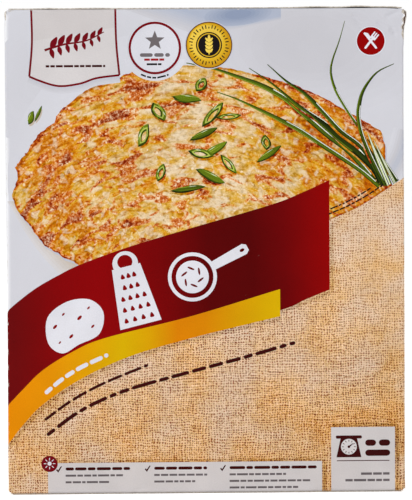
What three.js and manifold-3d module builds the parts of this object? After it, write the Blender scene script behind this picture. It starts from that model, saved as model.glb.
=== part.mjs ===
// A shut folding carton for chilled food, standing on its bottom with the printed front towards -Y.
// Four walls of coated board are folded into a sleeve, and the back wall is glued over a flap of the
// side wall. Each end is shut by two dust flaps, which close the sleeve, and by two full-width flaps
// glued over them: the inner one is hinged on the front wall and the outer one on the back wall. The
// pouch inside bows the front and the back, the outer top flap has sprung up a little along its cut
// edge, and one top corner has been knocked. The carton is closed all round, so it is one solid.

import * as THREE from 'three';
import { mergeVertices } from 'three/addons/utils/BufferGeometryUtils.js';
import Module from 'manifold-3d';

// Driving dimensions in millimetres: X runs across the front, Y towards the back and Z up.
const WIDTH = 165;
const DEPTH = 30;
const HEIGHT = 202;
const BOARD = 0.5; // thickness of the carton board
const FOLD_RADIUS = 1; // outside of a folded edge
const FOLD_FACES = 3; // flat faces from the middle of a fold to the wall beside it
const CUT_RUN = 0.05; // slope of a cut edge, from its foot to its top

const FRONT_BOW = 1.3; // how far the front and the back stand out at their middle
const SIDE_DRAW = 0.5; // how far the side walls are drawn in by that bow
const STIFF_END = 4; // strip beside each end of the sleeve that its flaps hold straight

const SPRING_RISE = 0.5; // most that the outer top flap has sprung up at its cut edge
const SPRING_DEPTH = 11; // from that cut edge to where the flap lies flat
const SLIT_FOOT = 0.06; // by which the slit under the sprung flap cuts into the inner flap

const KNOCK_PLACE = new THREE.Vector3(WIDTH / 2, -DEPTH / 2, HEIGHT - 2.2);
const KNOCK_REACH = 9; // radius of the knocked corner
const KNOCK_PUSH = new THREE.Vector3(1.4, 0.6, -0.5); // where its tip has gone

// The flaps lie over the ends of the sleeve, one board thickness each.
const SLEEVE_TOP = HEIGHT - SPRING_RISE - 2 * BOARD;
const SLEEVE_BOTTOM = 2 * BOARD;
const FLAP_END = WIDTH / 2 - FOLD_RADIUS - CUT_RUN; // X of the full-width flaps' ends
const CUT_EDGE = -(DEPTH / 2 - FOLD_RADIUS - CUT_RUN); // Y of the outer flaps' cut edges

const wasm = await Module();
wasm.setup();

/** Turns a closed geometry into a solid that can be cut. */
function solidOf(geometry) {
  const bare = geometry.clone();
  bare.deleteAttribute('normal');
  bare.deleteAttribute('uv');
  const merged = mergeVertices(bare, 1e-4);
  return new wasm.Manifold(new wasm.Mesh({
    numProp: 3,
    vertProperties: Float32Array.from(merged.attributes.position.array),
    triVerts: Uint32Array.from(merged.index.array),
  }));
}

/** Turns a finished solid back into a geometry. */
function geometryOf(solid) {
  const mesh = solid.getMesh();
  const geometry = new THREE.BufferGeometry();
  geometry.setAttribute('position', new THREE.BufferAttribute(mesh.vertProperties, 3));
  geometry.setIndex(new THREE.BufferAttribute(mesh.triVerts, 1));
  geometry.computeVertexNormals();
  return geometry;
}

/** Moves every vertex of a geometry by a function that changes it in place. */
function moveVertices(geometry, move) {
  const position = geometry.attributes.position;
  const vertex = new THREE.Vector3();
  for (let i = 0; i < position.count; i += 1) {
    vertex.fromBufferAttribute(position, i);
    move(vertex);
    position.setXYZ(i, vertex.x, vertex.y, vertex.z);
  }
  return geometry;
}

/** One in the middle of a span and zero at its two ends, as a parabola. */
function arch(value, half) {
  return Math.max(0, 1 - (value / half) ** 2);
}

/** The form that the filled carton has settled into: bowed walls and one knocked corner. */
function settle(vertex) {
  const upright = arch(vertex.z - HEIGHT / 2, HEIGHT / 2 - STIFF_END);
  const across = arch(vertex.x, WIDTH / 2);
  const along = arch(vertex.y, DEPTH / 2);
  vertex.y += FRONT_BOW * across * upright * (2 * vertex.y / DEPTH);
  vertex.x -= SIDE_DRAW * along * upright * (2 * vertex.x / WIDTH);

  const nearness = Math.max(0, 1 - vertex.distanceTo(KNOCK_PLACE) / KNOCK_REACH);
  vertex.addScaledVector(KNOCK_PUSH, nearness * nearness * (3 - 2 * nearness));
}

/** How much of its rise the sprung flap has at a place along it: most towards the knocked corner. */
function springAt(x) {
  const along = x / WIDTH + 0.5;
  const wave = 0.5 + 0.5 * Math.cos((along - 0.88) * 3 * Math.PI);
  return 0.3 + 0.7 * along * wave;
}

/** Height that the sprung flap has at a place, above where it would lie flat. */
function springRise(x, y) {
  const sprung = Math.max(0, 1 - (y - CUT_EDGE) / SPRING_DEPTH);
  return SPRING_RISE * springAt(x) * sprung ** 2;
}

/** Grid lines across a span: close together in its two folds, and widest in its middle. */
function gridLines(half, middleSteps) {
  const fold = Array.from({ length: FOLD_FACES + 1 }, (_, i) => half - (FOLD_RADIUS * i) / FOLD_FACES);
  const flat = half - FOLD_RADIUS - CUT_RUN;
  const middle = Array.from({ length: middleSteps + 1 }, (_, i) => {
    const even = (2 * i) / middleSteps - 1;
    return flat * (0.25 * even + 0.75 * Math.sin((even * Math.PI) / 2));
  });
  return [...fold.map((line) => -line), ...middle, ...fold.reverse()];
}

/** Thickness of the flaps over an end of the sleeve at a place. */
function flapsAt(x, y) {
  const onSlope = CUT_RUN / 2;
  if (Math.abs(x) > FLAP_END + onSlope) {
    return 0; // only the folded edge of a dust flap
  }
  return y < CUT_EDGE - onSlope ? BOARD : 2 * BOARD;
}

/** The closed carton before its slit is cut: a box with folded edges and stepped ends. */
function shutBox() {
  const half = new THREE.Vector3(WIDTH / 2, DEPTH / 2, (SLEEVE_TOP - SLEEVE_BOTTOM) / 2);
  const lines = [gridLines(half.x, 14), gridLines(half.y, 4), gridLines(half.z, 16)];
  const box = new THREE.BoxGeometry(1, 1, 1, ...lines.map((list) => list.length - 1));
  const lineAt = (value, list) => list[Math.round((value + 0.5) * (list.length - 1))];
  const inside = half.clone().subScalar(FOLD_RADIUS);
  const outside = inside.clone().negate();
  const core = new THREE.Vector3();
  return moveVertices(box, (vertex) => {
    vertex.set(...vertex.toArray().map((value, axis) => lineAt(value, lines[axis])));
    core.copy(vertex).clamp(outside, inside);
    const flaps = flapsAt(vertex.x, vertex.y);
    const onGlueFlap = vertex.x > FLAP_END + CUT_RUN / 2 && vertex.y > inside.y - CUT_RUN / 2;
    const atEnd = Math.abs(vertex.z) > inside.z - CUT_RUN / 2 ? Math.sign(vertex.z) : 0;
    vertex.sub(core).setLength(FOLD_RADIUS).add(core);
    vertex.y -= onGlueFlap ? BOARD : 0;
    vertex.z += atEnd * flaps + half.z + SLEEVE_BOTTOM;
    vertex.z += atEnd > 0 && flaps > BOARD ? springRise(vertex.x, vertex.y) : 0;
    settle(vertex);
  });
}

/** The slit between the inner top flap and the sprung outer one, open to the front. */
function slit() {
  const past = FOLD_RADIUS + 1; // by which the cutter reaches out of the carton
  const back = CUT_EDGE + SPRING_DEPTH;
  const front = -DEPTH / 2 - past;
  const cutter = new THREE.BoxGeometry(2 * FLAP_END + 0.2, 1, 1, 30, 8, 1);
  return moveVertices(cutter, (vertex) => {
    const onTop = vertex.z > 0;
    vertex.y = front + (back - front) * (vertex.y + 0.5);
    const gap = onTop ? SLIT_FOOT + springRise(vertex.x, Math.max(vertex.y, CUT_EDGE)) : 0;
    vertex.z = SLEEVE_TOP + BOARD - SLIT_FOOT + gap;
    settle(vertex);
  });
}

/** The whole carton as one solid, standing on Z = 0 and centred over the origin. */
function carton() {
  const geometry = geometryOf(solidOf(shutBox()).subtract(solidOf(slit())));
  geometry.computeBoundingBox();
  const { min, max } = geometry.boundingBox;
  geometry.translate(-(min.x + max.x) / 2, -(min.y + max.y) / 2, -min.z);
  return geometry;
}

const coatedBoard = new THREE.MeshStandardMaterial({ color: 0xd9d8dc, roughness: 0.42, metalness: 0 });

const pack = new THREE.Group();
const shell = new THREE.Mesh(carton(), coatedBoard);
shell.name = 'carton';
pack.add(shell);

export default pack;
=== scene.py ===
import math
import random

import bpy
import numpy as np
from mathutils import Matrix, Vector, noise
from mathutils.geometry import delaunay_2d_cdt


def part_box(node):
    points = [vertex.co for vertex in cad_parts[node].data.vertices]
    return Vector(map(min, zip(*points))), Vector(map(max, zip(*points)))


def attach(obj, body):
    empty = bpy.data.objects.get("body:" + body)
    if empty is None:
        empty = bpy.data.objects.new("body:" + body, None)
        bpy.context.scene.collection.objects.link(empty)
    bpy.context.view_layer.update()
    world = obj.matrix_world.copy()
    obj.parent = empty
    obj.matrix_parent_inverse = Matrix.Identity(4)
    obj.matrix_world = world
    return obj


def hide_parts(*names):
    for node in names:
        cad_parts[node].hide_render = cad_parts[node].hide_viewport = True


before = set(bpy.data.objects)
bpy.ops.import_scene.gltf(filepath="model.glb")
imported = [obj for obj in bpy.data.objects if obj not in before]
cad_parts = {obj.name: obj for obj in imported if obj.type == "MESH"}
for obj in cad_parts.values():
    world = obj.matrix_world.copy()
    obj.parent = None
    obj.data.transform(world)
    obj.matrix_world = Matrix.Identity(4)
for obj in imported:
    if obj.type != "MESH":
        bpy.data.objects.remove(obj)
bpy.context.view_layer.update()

MM = 0.001  # the carton is laid out in millimetres, and its meshes are in metres

# ---------------------------------------------------------------- the folded carton

low_corner, high_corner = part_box("carton")
WIDTH = 165.0
DEPTH = 30.0
HEIGHT = round((high_corner[2] - low_corner[2]) / MM)
MIDDLE_X = low_corner[0] / MM + WIDTH / 2  # the knocked corner pushes the box's middle off this
BOARD = 0.5  # thickness of the carton board
FOLD_RADIUS = 1.0  # outside of a folded edge
CUT_RUN = 0.05  # from the end of a fold to the edge of a flap beside it
FRONT_BOW = 1.3  # how far the front and the back stand out at their middle
SIDE_DRAW = 0.5  # how far the side walls are drawn in by that bow
STIFF_END = 4.0  # strip beside each end of the sleeve that its flaps hold straight
SPRING_RISE = 0.5  # most that the outer top flap has sprung up at its cut edge
SPRING_DEPTH = 11.0  # from that cut edge to where the flap lies flat
KNOCK_PLACE = np.array([WIDTH / 2, -DEPTH / 2, HEIGHT - 2.2])
KNOCK_REACH = 9.0  # radius of the knocked corner
KNOCK_PUSH = np.array([1.4, 0.6, -0.5])  # where its tip has gone
UPWARD = np.array([0, 0, 1.0])

SLEEVE_TOP = HEIGHT - SPRING_RISE - 2 * BOARD
SLEEVE_BOTTOM = 2 * BOARD
SLEEVE_MIDDLE = (SLEEVE_TOP + SLEEVE_BOTTOM) / 2
CUT_EDGE_Y = -(DEPTH / 2 - FOLD_RADIUS - CUT_RUN)  # of the outer flaps
OUTER_REACH = DEPTH / 2 - FOLD_RADIUS - CUT_EDGE_Y  # from the outer flap's fold to its cut edge
INNER_REACH = 20.0
DUST_REACH = 16.0
GLUE_FLAP = 11.0

# The notch between a flap and the corner of the sleeve, and the shape of a flap's free corners.
NOTCH = 0.2
NOTCH_DROP = 0.4
CORNER_REACH = 0.5
FLAP_TAPER = 0.6
FLAP_CHAMFER = 0.8
GLUE_FLAP_SLANT = 9.0  # how much shorter the glue flap is at its free edge, at each end

# The heights of the board's unevenness, and how far from the sleeve's ends it starts and is whole.
LONG_RIPPLE, SHORT_RIPPLE = 0.09, 0.03
RIPPLE_START, RIPPLE_RUN = 2.0, 6.0

# The places that carry the form of a sheet: steps on the walls, on the flaps, along the side folds
# and along the end folds, and distances past those folds.
FLAT_STEP, FLAP_STEP, FOLD_STEP, END_FOLD_STEP = 4.0, 3.0, 1.6, 1.8
EDGE_ROOM = 3.0  # from the folds to the first of the places on the flat
PAST_FOLD = (-2.2, -1.0, -0.75, -0.5, -0.25, 0.0)
PAST_END_FOLD = (-1.6, -1.0, -0.7, -0.4, 0.0, 0.4, 0.7, 1.0, 2.0)
ON_GLUE_FLAP = (-0.5, -0.25, 0.25, 0.5, 1.0, 5.0)
NORMAL_STEP = 0.03  # half the way between two places that give a direction of the board
FAR_FROM_FOLD = 10.0  # the longest distance from a fold that is told apart


def arch(value, half):
    """One in the middle of a span and zero at its two ends, as a parabola."""
    return np.maximum(0, 1 - (value / half) ** 2)


# Where the outer top flap has lifted, how much of its rise it has there, and for how far. Places
# and lengths are shares of the carton's width.
SPRUNG_SPOTS = [
    (0.11, 0.45, 0.02), (0.22, 0.35, 0.04), (0.78, 0.70, 0.035), (0.885, 1.0, 0.035),
    (0.97, 0.5, 0.03),
]
SPRUNG_SLOPE = 0.12  # share of its rise that the whole flap gains from left to right


def spring_at(x):
    """How much of its rise the sprung flap has at a place along it."""
    along = x / WIDTH + 0.5
    lifted = (rise * np.exp(-(((along - at) / run) ** 2)) for at, rise, run in SPRUNG_SPOTS)
    return SPRUNG_SLOPE * along + sum(lifted)


def spring(points):
    """Lifts the strip of the outer top flap along its cut edge."""
    sprung = np.clip(1 - (points[:, 1] - CUT_EDGE_Y) / SPRING_DEPTH, 0, 1)
    over = points[:, 2] > SLEEVE_TOP + 0.8 * BOARD
    points[:, 2] += np.where(over, SPRING_RISE * spring_at(points[:, 0]) * sprung**2, 0)


def settle(points):
    """Bows the walls over the filled pouch and pushes in the knocked corner."""
    upright = arch(points[:, 2] - HEIGHT / 2, HEIGHT / 2 - STIFF_END)
    across = arch(points[:, 0], WIDTH / 2)
    along = arch(points[:, 1], DEPTH / 2)
    points[:, 1] += FRONT_BOW * across * upright * points[:, 1] * 2 / DEPTH
    points[:, 0] -= SIDE_DRAW * along * upright * points[:, 0] * 2 / WIDTH
    away = np.linalg.norm(points - KNOCK_PLACE, axis=1)
    near = np.maximum(0, 1 - away / KNOCK_REACH)
    points += (near * near * (3 - 2 * near))[:, None] * KNOCK_PUSH


def fold(run, flat):
    """Follows the board past a fold that starts at flat: along, then by what angle, then inward."""
    turned = np.clip((run - flat) / FOLD_RADIUS, 0, 2) * math.pi / 4
    inward = np.maximum(run - flat - 2 * FOLD_RADIUS, 0)
    return np.minimum(run, flat), turned, inward


class Dent:
    """A shallow dent or crease that runs between two places on the blank."""

    def __init__(self, start, end, width, depth):
        self.start = np.array(start, float)
        self.end = np.array(end, float)
        self.width = width
        self.depth = depth

    def away(self, s, t):
        """Distance of each place from the line of the dent."""
        line = self.end - self.start
        run_s, run_t = s - self.start[0], t - self.start[1]
        share = np.clip((run_s * line[0] + run_t * line[1]) / float(line @ line), 0, 1)
        return np.hypot(run_s - share * line[0], run_t - share * line[1])

    def at(self, s, t):
        """How far the board is pressed in at each place."""
        return self.depth * np.exp(-((self.away(s, t) / self.width) ** 2))

    def points(self):
        """Extra places that the dented board needs, so that its form shows."""
        step = self.width / 2.5
        reach = 2.2 * self.width
        low = np.minimum(self.start, self.end) - reach
        high = np.maximum(self.start, self.end) + reach
        grid = [
            (s, t)
            for s in np.arange(low[0], high[0], step)
            for t in np.arange(low[1], high[1], step)
        ]
        return [p for p in grid if self.away(np.array(p[0]), np.array(p[1])) < reach]


# The knocked corner's dents and folds first, then those along the edges and on the other walls.
DENTS = [
    Dent((77.4, 191.6), (78.4, 190.6), 1.1, 0.5),
    Dent((61.8, 197.5), (64.6, 193.4), 1.0, 0.22),
    Dent((72.0, 194.6), (74.8, 192.4), 0.9, 0.3),
    Dent((79.5, 200.0), (75.5, 197.2), 0.9, 0.35),
    Dent((82.5, 186.0), (82.5, 197.5), 0.8, -0.25),
    Dent((-82.5, 196.5), (-80.8, 199.4), 0.8, 0.3),
    Dent((-30.0, 1.0), (-27.5, 2.2), 1.2, 0.25),
    Dent((45.0, 0.8), (49.0, 1.8), 1.2, 0.2),
    Dent((-150.0, 150.0), (-143.0, 158.0), 2.2, 0.3),
    Dent((-236.0, 60.0), (-231.0, 52.0), 2.6, 0.3),
    Dent((-97.0, 128.0), (-95.5, 133.0), 1.6, 0.25),
    Dent((100.0, 70.0), (101.0, 76.0), 1.6, 0.22),
]


def ripple(s, t):
    """The slight unevenness of board that has been folded, filled and handled."""
    long_wave = LONG_RIPPLE * np.sin(s / 17.0 + 0.8 * np.sin(t / 31.0)) * np.sin(t / 23.0 + 1.1)
    short_wave = SHORT_RIPPLE * np.sin(s / 5.3 + t / 9.1) * np.sin(t / 6.7 - s / 13.0)
    from_end = np.minimum(SLEEVE_TOP - RIPPLE_START - t, t - SLEEVE_BOTTOM - RIPPLE_START)
    inside = np.clip(from_end / RIPPLE_RUN, 0, 1)
    pressed = sum(dent.at(s, t) for dent in DENTS)
    return (long_wave + short_wave) * inside - pressed


class Wall:
    """One wall of the sleeve with its two flaps: where it is on the blank and how it is folded.

    middle is the wall's middle on the blank, and across and outward are its directions as folded.
    flap_layer counts the boards under its flaps' outer faces, from the sleeve's ends: 0 for dust
    flaps, 1 for the inner flaps and 2 for the outer ones. Its left and right edges end in half a
    fold, in a cut edge, or go round into the glue flap.
    """

    def __init__(self, name, middle, width, apart, across, outward, flap_layer, reach, left, right):
        self.name = name
        self.middle = middle
        self.half = width / 2
        self.apart = apart / 2
        self.across = np.array(across, float)
        self.outward = np.array(outward, float)
        self.top = SLEEVE_TOP + flap_layer * BOARD
        self.bottom = SLEEVE_BOTTOM - flap_layer * BOARD
        self.reach = reach
        self.left = left
        self.right = right
        self.seam = BOARD if right == "glue flap" else 0  # the glue flap lies under the back wall

    def corner(self, edge, up):
        """The outline from a side edge to the middle of a flap's end, as seen at the top right."""
        half = self.half - (self.seam if edge == self.right else 0)
        flap_half = half - FOLD_RADIUS - CUT_RUN
        crest = self.top if up else self.bottom
        sleeve = SLEEVE_TOP if up else SLEEVE_BOTTOM
        sign = 1 if up else -1
        shoulder = sleeve + sign * CORNER_REACH
        notch_end = sleeve - sign * (FOLD_RADIUS + NOTCH_DROP)
        tip = crest + sign * (FOLD_RADIUS + self.reach)
        points = []
        if edge == "glue flap":
            points += [(half + FOLD_RADIUS + GLUE_FLAP, sleeve - sign * GLUE_FLAP_SLANT),
                       (half + FOLD_RADIUS, sleeve - sign * FOLD_RADIUS)]
        if edge != "cut":
            points += [(half, shoulder), (flap_half + NOTCH, shoulder),
                       (flap_half + NOTCH, notch_end), (flap_half, notch_end)]
        return points + [
            (flap_half, crest + sign * FOLD_RADIUS),
            (flap_half - FLAP_TAPER, tip - sign * FLAP_CHAMFER),
            (flap_half - FLAP_TAPER - FLAP_CHAMFER, tip),
        ]

    def outline(self):
        """The cut outline of the sheet on the blank, anticlockwise."""
        right = self.corner(self.right, False)[::-1] + self.corner(self.right, True)
        left = self.corner(self.left, True)[::-1] + self.corner(self.left, False)
        return [(self.middle + s, t) for s, t in right] + [(self.middle - s, t) for s, t in left]

    def folded(self, s, t, depth):
        """Places in millimetres of points on the sheet, depth inside its printed face."""
        run = s - self.middle
        side = np.where(run < 0, -1.0, 1.0)
        half = self.half - np.where(run > 0, self.seam, 0)
        core_side, turn_side, in_side = fold(np.abs(run), half - FOLD_RADIUS)

        on_flap = np.abs(run) < half - FOLD_RADIUS - CUT_RUN + NOTCH / 2
        climb = t - SLEEVE_MIDDLE
        up = np.where(climb < 0, -1.0, 1.0)
        crest = np.where(climb < 0, SLEEVE_MIDDLE - self.bottom, self.top - SLEEVE_MIDDLE)
        crest = np.where(on_flap, crest, SLEEVE_TOP - SLEEVE_MIDDLE)
        core_up, turn_up, in_up = fold(np.abs(climb), crest - FOLD_RADIUS)

        normal = (
            self.outward * (np.cos(turn_side) * np.cos(turn_up))[:, None]
            + self.across * (side * np.sin(turn_side) * np.cos(turn_up))[:, None]
            + UPWARD * (up * np.sin(turn_up))[:, None]
        )
        points = (
            self.outward * (self.apart - FOLD_RADIUS - in_side - in_up)[:, None]
            + self.across * (side * core_side)[:, None]
            + UPWARD * (SLEEVE_MIDDLE + up * core_up)[:, None]
            + normal * (FOLD_RADIUS + ripple(s, t) - depth)[:, None]
        )
        if self.reach == OUTER_REACH:
            spring(points)
        settle(points)
        return points + [MIDDLE_X, 0, 0]

    def normals(self, s, t, depth):
        """Outward directions of the settled sheet."""
        step = NORMAL_STEP
        along = self.folded(s + step, t, depth) - self.folded(s - step, t, depth)
        up = self.folded(s, t + step, depth) - self.folded(s, t - step, depth)
        normal = np.cross(along, up)
        return normal / np.maximum(np.linalg.norm(normal, axis=1), 1e-12)[:, None]

    def fold_distance(self, s, t):
        """How far a place is from the nearest folded or cut edge, in millimetres."""
        side = np.abs(self.half - np.abs(s - self.middle))
        ends = np.minimum(np.abs(self.top - t), np.abs(t - self.bottom))
        return np.minimum(np.minimum(side, ends), FAR_FROM_FOLD)

    def relief_points(self):
        """Places on the sheet that carry its form: wide apart on the flat, close in the folds."""
        left, right = self.middle - self.half, self.middle + self.half
        on_flat = np.arange(left + EDGE_ROOM, right - EDGE_ROOM + 0.1, FLAT_STEP)
        up_flat = np.arange(FLAT_STEP, SLEEVE_TOP - EDGE_ROOM, FLAT_STEP)
        beside_folds = np.arange(SLEEVE_BOTTOM + FOLD_RADIUS, SLEEVE_TOP - FOLD_RADIUS, FOLD_STEP)
        points = [(s, t) for s in on_flat for t in up_flat]
        for t in beside_folds:
            points += [(left - d, t) for d in PAST_FOLD]
            points += [(right + d, t) for d in PAST_FOLD]
        for s in np.arange(left + 0.3, right, END_FOLD_STEP):
            points += [(s, self.top + d) for d in PAST_END_FOLD]
            points += [(s, self.bottom - d) for d in PAST_END_FOLD]
        for s in on_flat:
            for d in np.arange(FLAT_STEP, self.reach, FLAP_STEP):
                points += [(s, self.top + d), (s, self.bottom - d)]
        if self.right == "glue flap":
            points += [(right + d, t) for t in beside_folds for d in ON_GLUE_FLAP]
        for dent in DENTS:
            points += dent.points()
        return points


WALLS = [
    Wall("front_wall", 0, WIDTH, DEPTH, (1, 0, 0), (0, -1, 0), 1, INNER_REACH, "fold", "fold"),
    Wall("right_wall", (WIDTH + DEPTH) / 2, DEPTH, WIDTH, (0, 1, 0), (1, 0, 0), 0, DUST_REACH,
         "fold", "glue flap"),
    Wall("back_wall", -(WIDTH + DEPTH), WIDTH, DEPTH, (-1, 0, 0), (0, 1, 0), 2, OUTER_REACH,
         "cut", "fold"),
    Wall("left_wall", -(WIDTH + DEPTH) / 2, DEPTH, WIDTH, (0, -1, 0), (-1, 0, 0), 0, DUST_REACH,
         "fold", "fold"),
]

# ---------------------------------------------------------------- shapes on the flat blank


def signed_area(points):
    """Area inside a closed outline, negative where it runs clockwise."""
    turned = points[1:] + points[:1]
    return sum(a[0] * b[1] - b[0] * a[1] for a, b in zip(points, turned)) / 2


PRINT = []  # shapes painted one over another on the flat blank: ink, points in millimetres and tone


def paint(ink, points, tone=0.5):
    """Adds a shape on top of those painted so far."""
    points = [(float(s), float(t)) for s, t in points]
    if signed_area(points) < 0:
        points.reverse()
    PRINT.append((ink, points, tone))


def print_near(outline):
    """The shapes whose extent meets that of an outline, in painting order."""
    low, high = np.min(outline, axis=0), np.max(outline, axis=0)
    return [
        (ink, points, tone) for ink, points, tone in PRINT
        if np.all(np.max(points, axis=0) > low) and np.all(np.min(points, axis=0) < high)
    ]


def curve(points, steps=8):
    """A smooth line through the given points."""
    ends = [np.array(p, float) for p in points]
    ends = [2 * ends[0] - ends[1], *ends, 2 * ends[-1] - ends[-2]]
    line = []
    for a, b, c, d in zip(ends, ends[1:], ends[2:], ends[3:]):
        for k in range(steps):
            u = k / steps
            line.append(tuple(
                0.5 * (2 * b + (c - a) * u + (2 * a - 5 * b + 4 * c - d) * u**2
                       + (3 * b - a - 3 * c + d) * u**3)
            ))
    line.append(tuple(ends[-2]))
    return line


def moved(points, step_s, step_t):
    """A shape moved over the blank."""
    return [(s + step_s, t + step_t) for s, t in points]


def placed(points, at, turn, size=1.0):
    """A figure drawn about its own middle, sized, turned and put in its place on the blank."""
    c, s = math.cos(math.radians(turn)), math.sin(math.radians(turn))
    result = []
    for x, y in points:
        x, y = x * size, y * size
        result.append((at[0] + x * c - y * s, at[1] + x * s + y * c))
    return result


def oval(middle, radius_s, radius_t=None, turn=0.0, sides=40):
    """A circle or an ellipse, turned anticlockwise by an angle in degrees."""
    radius_t = radius_s if radius_t is None else radius_t
    turns = [2 * math.pi * k / sides for k in range(sides)]
    return placed([(radius_s * math.cos(a), radius_t * math.sin(a)) for a in turns], middle, turn)


def bar(start, length, height, ends=0.35):
    """A level bar from its lower left corner. ends is its corners' radius as a share of its height."""
    radius = min(ends * height, length / 2)
    corners = [(length - radius, radius), (length - radius, height - radius),
               (radius, height - radius), (radius, radius)]
    points = []
    for quarter, (x, y) in enumerate(corners):
        for turn in (-90, -60, -30, 0):
            a = math.radians(turn + 90 * quarter)
            points.append((x + radius * math.cos(a), y + radius * math.sin(a)))
    return moved(points, *start)


def box_outline(low, high):
    """An upright rectangle."""
    return [low, (high[0], low[1]), high, (low[0], high[1])]


def level(left, right, t):
    """A level line."""
    return [(left, t), (right, t)]


def arc(middle, radius, first, last):
    """Part of a circle, from one angle to another in degrees."""
    turns = [math.radians(first + (last - first) * k / 20) for k in range(21)]
    return [(middle[0] + radius * math.cos(a), middle[1] + radius * math.sin(a)) for a in turns]


def length_of(path):
    """The length of a line."""
    return sum(math.dist(a, b) for a, b in zip(path, path[1:]))


def along(path, distance):
    """The place at a distance along a line, and the direction of the line there."""
    for a, b in zip(path, path[1:]):
        step = math.dist(a, b)
        if distance <= step or b == path[-1]:
            direction = ((b[0] - a[0]) / step, (b[1] - a[1]) / step)
            share = distance / step
            return (a[0] + (b[0] - a[0]) * share, a[1] + (b[1] - a[1]) * share), direction
        distance -= step


def strip_along(path, places):
    """A strip along a line, from the distance, the offset and half the width at each of its places."""
    left, right = [], []
    for distance, side, half in places:
        (s, t), (ds, dt) = along(path, distance)
        left.append((s - dt * (side + half), t + ds * (side + half)))
        right.append((s - dt * (side - half), t + ds * (side - half)))
    return right + left[::-1]


def ribbon(path, width, start=0.0, end=None, offset=0.0, steps=12):
    """A strip along a line. width and offset are numbers or functions of the share of its length."""
    end = length_of(path) if end is None else end
    places = []
    for share in (k / steps for k in range(steps + 1)):
        half = (width(share) if callable(width) else width) / 2
        side = offset(share) if callable(offset) else offset
        places.append((start + (end - start) * share, side, half))
    return strip_along(path, places)


def rounded_bar(path, height, start, length, offset, steps):
    """A bar along a line with round ends, as long as length and as high as height."""
    radius = min(height / 2, length / 2)
    end = [(radius * (1 - math.cos(math.radians(a))), math.sin(math.radians(a)))
           for a in (0, 30, 60, 90)]
    runs = end + [(radius + (length - 2 * radius) * k / steps, 1) for k in range(1, steps)]
    runs += [(length - run, rise) for run, rise in reversed(end)]
    least = 0.02  # of the height, so that a round end keeps two corners
    return strip_along(
        path, [(start + run, offset, max(least, rise) * height / 2) for run, rise in runs]
    )


# ---------------------------------------------------------------- sheets of board

SHEET = 0.46  # drawn thickness, so that glued flaps don't share a face
TONE, WEAR = "tone", "fold distance"
PLAIN, BARE, CUT = "white board", "bare board", "cut edge"  # inks where nothing is painted

TRACE_STEP = 0.45  # between the corners of a shape where it crosses a fold
TRACE_RUN = 7  # on the flat one such corner in this many is enough
NEAR_FOLD = 2.2
SAME_PLACE = 1e-4  # corners closer together than this are one

# How a sheet lies on its baked image, in shares of it: the printed face at the left, the bare one at
# the lower right and the cut edge above that, in columns of short lengths.
IMAGE_MARGIN, IMAGE_GAP = 0.01, 0.02
PRINTED_WIDE = 0.72
BARE_TALL, EDGE_TALL = 0.45, 0.5
EDGE_COLUMNS = 12


def stepped(outline, longest):
    """Places along a closed outline, at most longest apart, each with its number on its side."""
    for a, b in zip(outline, outline[1:] + outline[:1]):
        count = max(1, math.ceil(math.dist(a, b) / longest))
        for k in range(count):
            yield k, a[0] + (b[0] - a[0]) * k / count, a[1] + (b[1] - a[1]) * k / count


def traced(wall, outline):
    """An outline with corners close enough together to follow the board, above all in its folds."""
    return [
        (s, t) for k, s, t in stepped(outline, TRACE_STEP)
        if k % TRACE_RUN == 0 or wall.fold_distance(s, t) < NEAR_FOLD
    ]


def holds(outline, places):
    """For many places at once, whether each lies inside a closed outline."""
    across, up = places[:, 0], places[:, 1]
    found = np.zeros(len(places), bool)
    for a, b in zip(outline, outline[1:] + outline[:1]):
        if a[1] != b[1]:
            crosses = (a[1] > up) != (b[1] > up)
            found ^= crosses & (across < a[0] + (up - a[1]) * (b[0] - a[0]) / (b[1] - a[1]))
    return found


def triangulated(outline, shapes, loose):
    """Cuts the inside of an outline along shapes.

    Gives the vertices, the triangles, the number of the top shape on each of them, and the corners
    that were given at each vertex.
    """
    rows = list(outline)
    faces = [list(range(len(outline)))]
    for shape in shapes:
        faces.append(list(range(len(rows), len(rows) + len(shape))))
        rows.extend(shape)
    rows.extend(loose)
    made = delaunay_2d_cdt([Vector(p) for p in rows], [], faces, 0, SAME_PLACE)
    vertices = np.array([v[:] for v in made[0]])
    triangles = np.array(made[2])
    middles = vertices[triangles].mean(axis=1)
    kept = np.nonzero(holds(outline, middles))[0]
    triangles, middles = triangles[kept], middles[kept]
    order = np.argsort(middles[:, 0])
    triangles, middles = triangles[order], middles[order]
    tops = np.zeros(len(triangles), int)
    for number, shape in enumerate(shapes, 1):
        low, high = np.min(shape, axis=0), np.max(shape, axis=0)
        first, last = np.searchsorted(middles[:, 0], (low[0], high[0]))
        near = np.arange(first, last)
        near = near[(middles[near, 1] > low[1]) & (middles[near, 1] < high[1])]
        if len(near):
            tops[near[holds(shape, middles[near])]] = number
    used, triangles = np.unique(triangles, return_inverse=True)
    triangles = [tuple(triangle) for triangle in triangles.reshape(-1, 3).tolist()]
    origins = [made[3][i] for i in used]
    return vertices[used], triangles, tops.tolist(), origins


def rim_loop(triangles):
    """The vertices round the edge of a triangulated sheet, in order."""
    sides = {pair for t in triangles for pair in zip(t, t[1:] + t[:1])}
    after = {a: b for a, b in sides if (b, a) not in sides}
    start = next(iter(after))
    loop = [start]
    while after[loop[-1]] != start:
        loop.append(after[loop[-1]])
    return loop


def new_piece(name, points, faces):
    """Makes an object in the scene from points in metres and faces."""
    mesh = bpy.data.meshes.new(name)
    mesh.from_pydata(points, [], faces)
    piece = bpy.data.objects.new(name, mesh)
    bpy.context.scene.collection.objects.link(piece)
    return piece, mesh


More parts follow.
